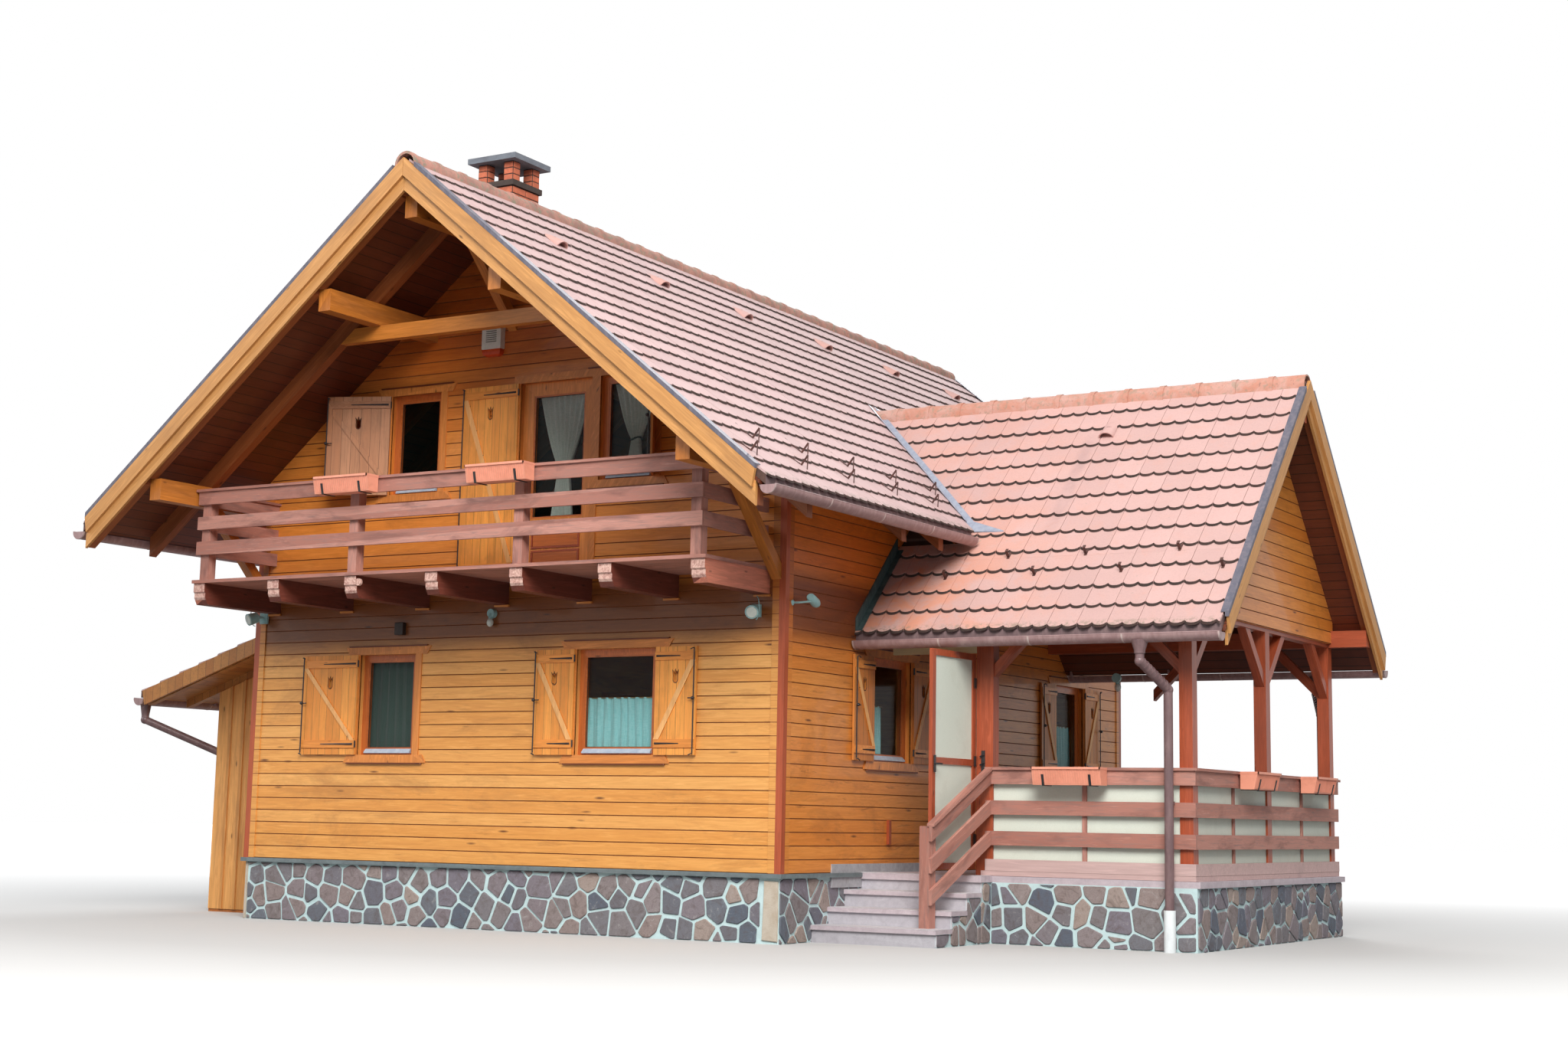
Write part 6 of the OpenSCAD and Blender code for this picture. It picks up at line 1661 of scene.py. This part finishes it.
class CHALET_OT_finishes(bpy.types.Operator):
    """Gives every part of the construction its finish"""
    bl_idname = "chalet.finishes"
    bl_label = "Finishes"

    def execute(self, context):
        for name, nodes in (
                ("siding_wood_%d", "end_walls gable_walls porch_gable"),
                ("deep_siding_wood_%d", "side_walls"), ("corner_board_wood", "corner_boards"),
                ("red_brown_%d", "porch_posts porch_beams screen_door"),
                ("weathered_rail_%d", "balcony_railing porch_railing stair_railing balcony_deck"),
                ("honey_beam_%d", "purlins roof_braces"), ("dark_rafter_%d", "rafters"),
                ("window_wood_%d", "window_frames"), ("casing_wood_%d", "window_trims outer_doors"),
                ("barge_wood_%d", "barge_boards"), ("mortar", "main_plinth porch_plinth"),
                ("ledge_stone", "plinth_ledge"), ("pale_floor", "floors"), ("dark_pane", "window_glass"),
                ("clay_under_tiles", "roof_tiles porch_tiles lean_to_tiles"),
                ("mottled_ridge_clay", "ridge_caps"),
                ("blue_grey_sheet", "valley_flashing"), ("mauve_gutter", "gutters"),
                ("chimney_mortar", "chimney"),
                ("blue_grey_concrete", "chimney_cap"), ("porch_stone_edge", "porch_floor step_treads"),
                ("open_weave", "porch_screens screen_door_mesh"), ("terracotta_plastic", "flower_boxes"),
                ("lean_to_wood", "lean_to_walls"), ("soffit_boards_main", "roof_boarding"),
                ("soffit_boards_porch", "porch_boarding"), ("lean_to_soffit", "lean_to_roof")):
            (paint_grain if "%d" in name else paint)(name, *nodes.split())
        for node, name, low, high in (
                ("porch_beams", "cream_header_board", (3.45, 1.80, 2.78), (4.46, 1.90, 3.13)),
                ("porch_railing", "pink_kick_board", (3.0, 1.0, 0.62), (7.2, 7.0, 0.80)),
                ("roof_tiles", "eave_drip_sheet", (4.1, -9, 3.9), (4.3, 18, 4.3)),
                ("roof_tiles", "eave_drip_sheet", (-4.3, -9, 3.9), (-4.1, 18, 4.3)),
                ("porch_tiles", "eave_drip_sheet", (2, 1.2, 2.8), (8, 1.5, 3.1)),
                ("porch_tiles", "eave_drip_sheet", (2, 6.55, 2.8), (8, 6.9, 3.1))):
            repaint(node, name, low, high)

        def shutter_face(c, n):
            """Battens, braces and boards are told apart by how far out and how high they lie."""
            foot, head = GROUND if c.z < 3.2 else UPPER
            door = c.z > 3.4 and -0.6 < c.x < 0.13 and c.y < 0
            if door:
                foot = 3.52
            y = c.y + MID
            flat = max(-y, y - LENGTH, abs(c.x) - HALF_W)
            swung = c.z > 4.4 and y < 0 and not door
            if (flat > 0.055 or swung and max(abs(n.x), abs(n.y)) > 0.3) and abs(n.z) < 0.5:
                if foot + 0.068 < c.z < foot + 0.152 or head - 0.132 < c.z < head - 0.048:
                    return 5 if swung and c.x < -1 else 2
                if flat > 0.0572 and not swung:
                    return 3
            if swung and c.x < -1:
                return 4
            return 1 if abs(c.x) > HALF_W and 0 < y < LENGTH or c.x > 1.5 and c.z > 4.4 and y < 0 else 0
        for node, names, choose in (
                # Painted shade: the inner joists and all undersides take the darkened stain; the sides and
                # tops of the end joists keep the stain's own colour
                ("balcony_joists", ["dark_joist_stain", "joist_stain"],
                 lambda c, n: abs(c.x) > 3.1 and n.z > -0.5),
                ("porch_steps", ["mortar", "riser_tile"], lambda c, n: n.y < -0.5),
                ("downpipes", ["brown_pipe", "white_standpipe"], lambda c, n: c.z < 0.36),
                ("shutters", ["shutter_boards_x", "shutter_boards_y", "shutter_battens", "shutter_brace",
                              "weathered_shutter_boards", "weathered_shutter_battens"], shutter_face)):
            paint_faces(node, names, choose)
        return {"FINISHED"}


class CHALET_OT_stage(bpy.types.Operator):
    """Sets up the pale floor, soft light and the camera"""
    bl_idname = "chalet.stage"
    bl_label = "Studio Stage"

    def execute(self, context):
        settings = context.scene.chalet_stage
        mesh = bpy.data.meshes.new("studio_floor")
        far = 120.0
        mesh.from_pydata([(x, y, 0) for x, y in oblong(-far, far, -far, far)], [], [(0, 1, 2, 3)])
        floor = bpy.data.objects.new("studio_floor", mesh)
        context.scene.collection.objects.link(floor)
        finish = Finish("studio_floor", 0.9)
        shade = tuple(settings.floor)
        seen = finish.node("LightPath", {}, "Is Camera Ray")
        pale = finish.layers(shade, (finish.noise(3.0, 3, 0.5), 0.0, 0.12, 0.0, 1.0, tint(shade, 0.95)))
        far_out = finish.node("VectorMath", {0: finish.coords()}, "Value", operation="LENGTH")
        finish.feed(finish.shader.inputs["Base Color"], finish.mix(seen, tint(shade, 0.5), pale))
        finish.feed(finish.shader.inputs["Emission Strength"],
                    finish.product(finish.ramp(far_out, 0.0, 1.0, 8.0, 34.0), seen))
        finish.feed(finish.shader.inputs["Emission Color"], (1, 1, 1))
        mesh.materials.append(finish.material)
        world = bpy.data.worlds.new("soft_room")
        context.scene.world = world
        world.use_nodes = True
        world.node_tree.nodes.clear()
        room = Nodes(world.node_tree)
        seen, glossy, through = (room.node("LightPath", {}, "Is %s Ray" % kind)
                                 for kind in ("Camera", "Glossy", "Transmission"))
        plain = room.work_out("MAXIMUM", room.work_out("MAXIMUM", seen, glossy), through)
        height = room.node("SeparateXYZ", {0: room.node("TexCoord", {}, "Generated")}, "Z")
        sky = room.ramp(height, settings.sky * 0.35, settings.sky * 1.35)
        light = room.node("Background", {"Color": (0.93, 0.96, 1.0), "Strength": sky})
        white = room.node("Background", {"Color": (1, 1, 1)})
        room.node("OutputWorld", {"Surface": room.node("MixShader", {0: plain, 1: light, 2: white})})
        for name, place, size, power, light in (
                ("key", (15, -22, 19), 16, 3400, (1.0, 0.97, 0.93)),
                ("left", (-20, -14, 16), 12, 700, (0.94, 0.97, 1.0)),
                ("back", (-8, 24, 20), 14, 1500, (1.0, 1.0, 1.0))):
            lamp = bpy.data.lights.new(name, "AREA")
            lamp.shape = "DISK"
            lamp.size = size
            lamp.energy = settings.key * power
            lamp.color = light
            holder = bpy.data.objects.new(name, lamp)
            holder.location = place
            holder.rotation_euler = (Vector((1, 0, 3)) - Vector(place)).to_track_quat("-Z", "Y").to_euler()
            context.scene.collection.objects.link(holder)
        self.camera(context)
        context.scene.view_settings.view_transform = "Standard"
        return {"FINISHED"}

    def camera(self, context):
        """The camera as it was worked out from the picture's perspective."""
        yaw, pitch, roll = (math.radians(angle) for angle in (30.310, 8.833, 1.043))
        right = Vector((math.cos(yaw), math.sin(yaw), 0))
        ahead = Vector((-math.sin(yaw) * math.cos(pitch), math.cos(yaw) * math.cos(pitch), math.sin(pitch)))
        up = right.cross(ahead)
        across = right * math.cos(roll) + up * math.sin(roll)
        upright = up * math.cos(roll) - right * math.sin(roll)
        turned = Matrix((across, upright, -ahead)).transposed().to_4x4()
        turned.translation = Vector((14.009, -22.302, 1.127))
        data = bpy.data.cameras.new("camera")
        data.sensor_width = 36
        data.lens = 51.456
        data.shift_x = -0.00644
        data.shift_y = -0.0324
        data.clip_end = 500
        made = bpy.data.objects.new("camera", data)
        made.matrix_world = turned
        context.scene.collection.objects.link(made)
        context.scene.camera = made


PIECES = [CHALET_OT_main_tiles, CHALET_OT_porch_tiles, CHALET_OT_lean_to_tiles, CHALET_OT_siding,
          CHALET_OT_lean_to_boards, CHALET_OT_rubble, CHALET_OT_chimney_bricks, CHALET_OT_roof_metal,
          CHALET_OT_roof_vents, CHALET_OT_snow_irons, CHALET_OT_shutter_irons, CHALET_OT_window_fittings,
          CHALET_OT_curtains, CHALET_OT_step_tiles, CHALET_OT_lamps, CHALET_OT_flower_box_trim,
          CHALET_OT_gutter_bands, CHALET_OT_kick_strips, CHALET_OT_door_irons, CHALET_OT_joist_ends,
          CHALET_OT_finishes, CHALET_OT_stage]


class CHALET_PT_panel(bpy.types.Panel):
    """Lists the pieces of the chalet in the sidebar"""
    bl_idname = "CHALET_PT_panel"
    bl_label = "Alpine Chalet"
    bl_space_type = "VIEW_3D"
    bl_region_type = "UI"
    bl_category = "Chalet"

    def draw(self, context):
        scene = context.scene
        for group in (scene.chalet_tiles, scene.chalet_siding, scene.chalet_stones, scene.chalet_stage):
            box = self.layout.box()
            for name in group.bl_rna.properties.keys():
                if name not in ("rna_type", "name"):
                    box.prop(group, name)
        for piece in PIECES:
            self.layout.operator(piece.bl_idname)


SETTINGS = {"chalet_tiles": TileSettings, "chalet_siding": SidingSettings, "chalet_stones": StoneSettings,
            "chalet_stage": StageSettings}


def register():
    for group in SETTINGS.values():
        bpy.utils.register_class(group)
    for name, group in SETTINGS.items():
        setattr(bpy.types.Scene, name, bpy.props.PointerProperty(type=group))
    for piece in PIECES + [CHALET_PT_panel]:
        bpy.utils.register_class(piece)


def unregister():
    for piece in reversed(PIECES + [CHALET_PT_panel]):
        bpy.utils.unregister_class(piece)
    for name in SETTINGS:
        delattr(bpy.types.Scene, name)
    for group in reversed(list(SETTINGS.values())):
        bpy.utils.unregister_class(group)


def main():
    register()
    for piece in PIECES:
        area_name, name = piece.bl_idname.split(".")
        getattr(getattr(bpy.ops, area_name), name)()
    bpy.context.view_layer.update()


if __name__ == "__main__":
    main()
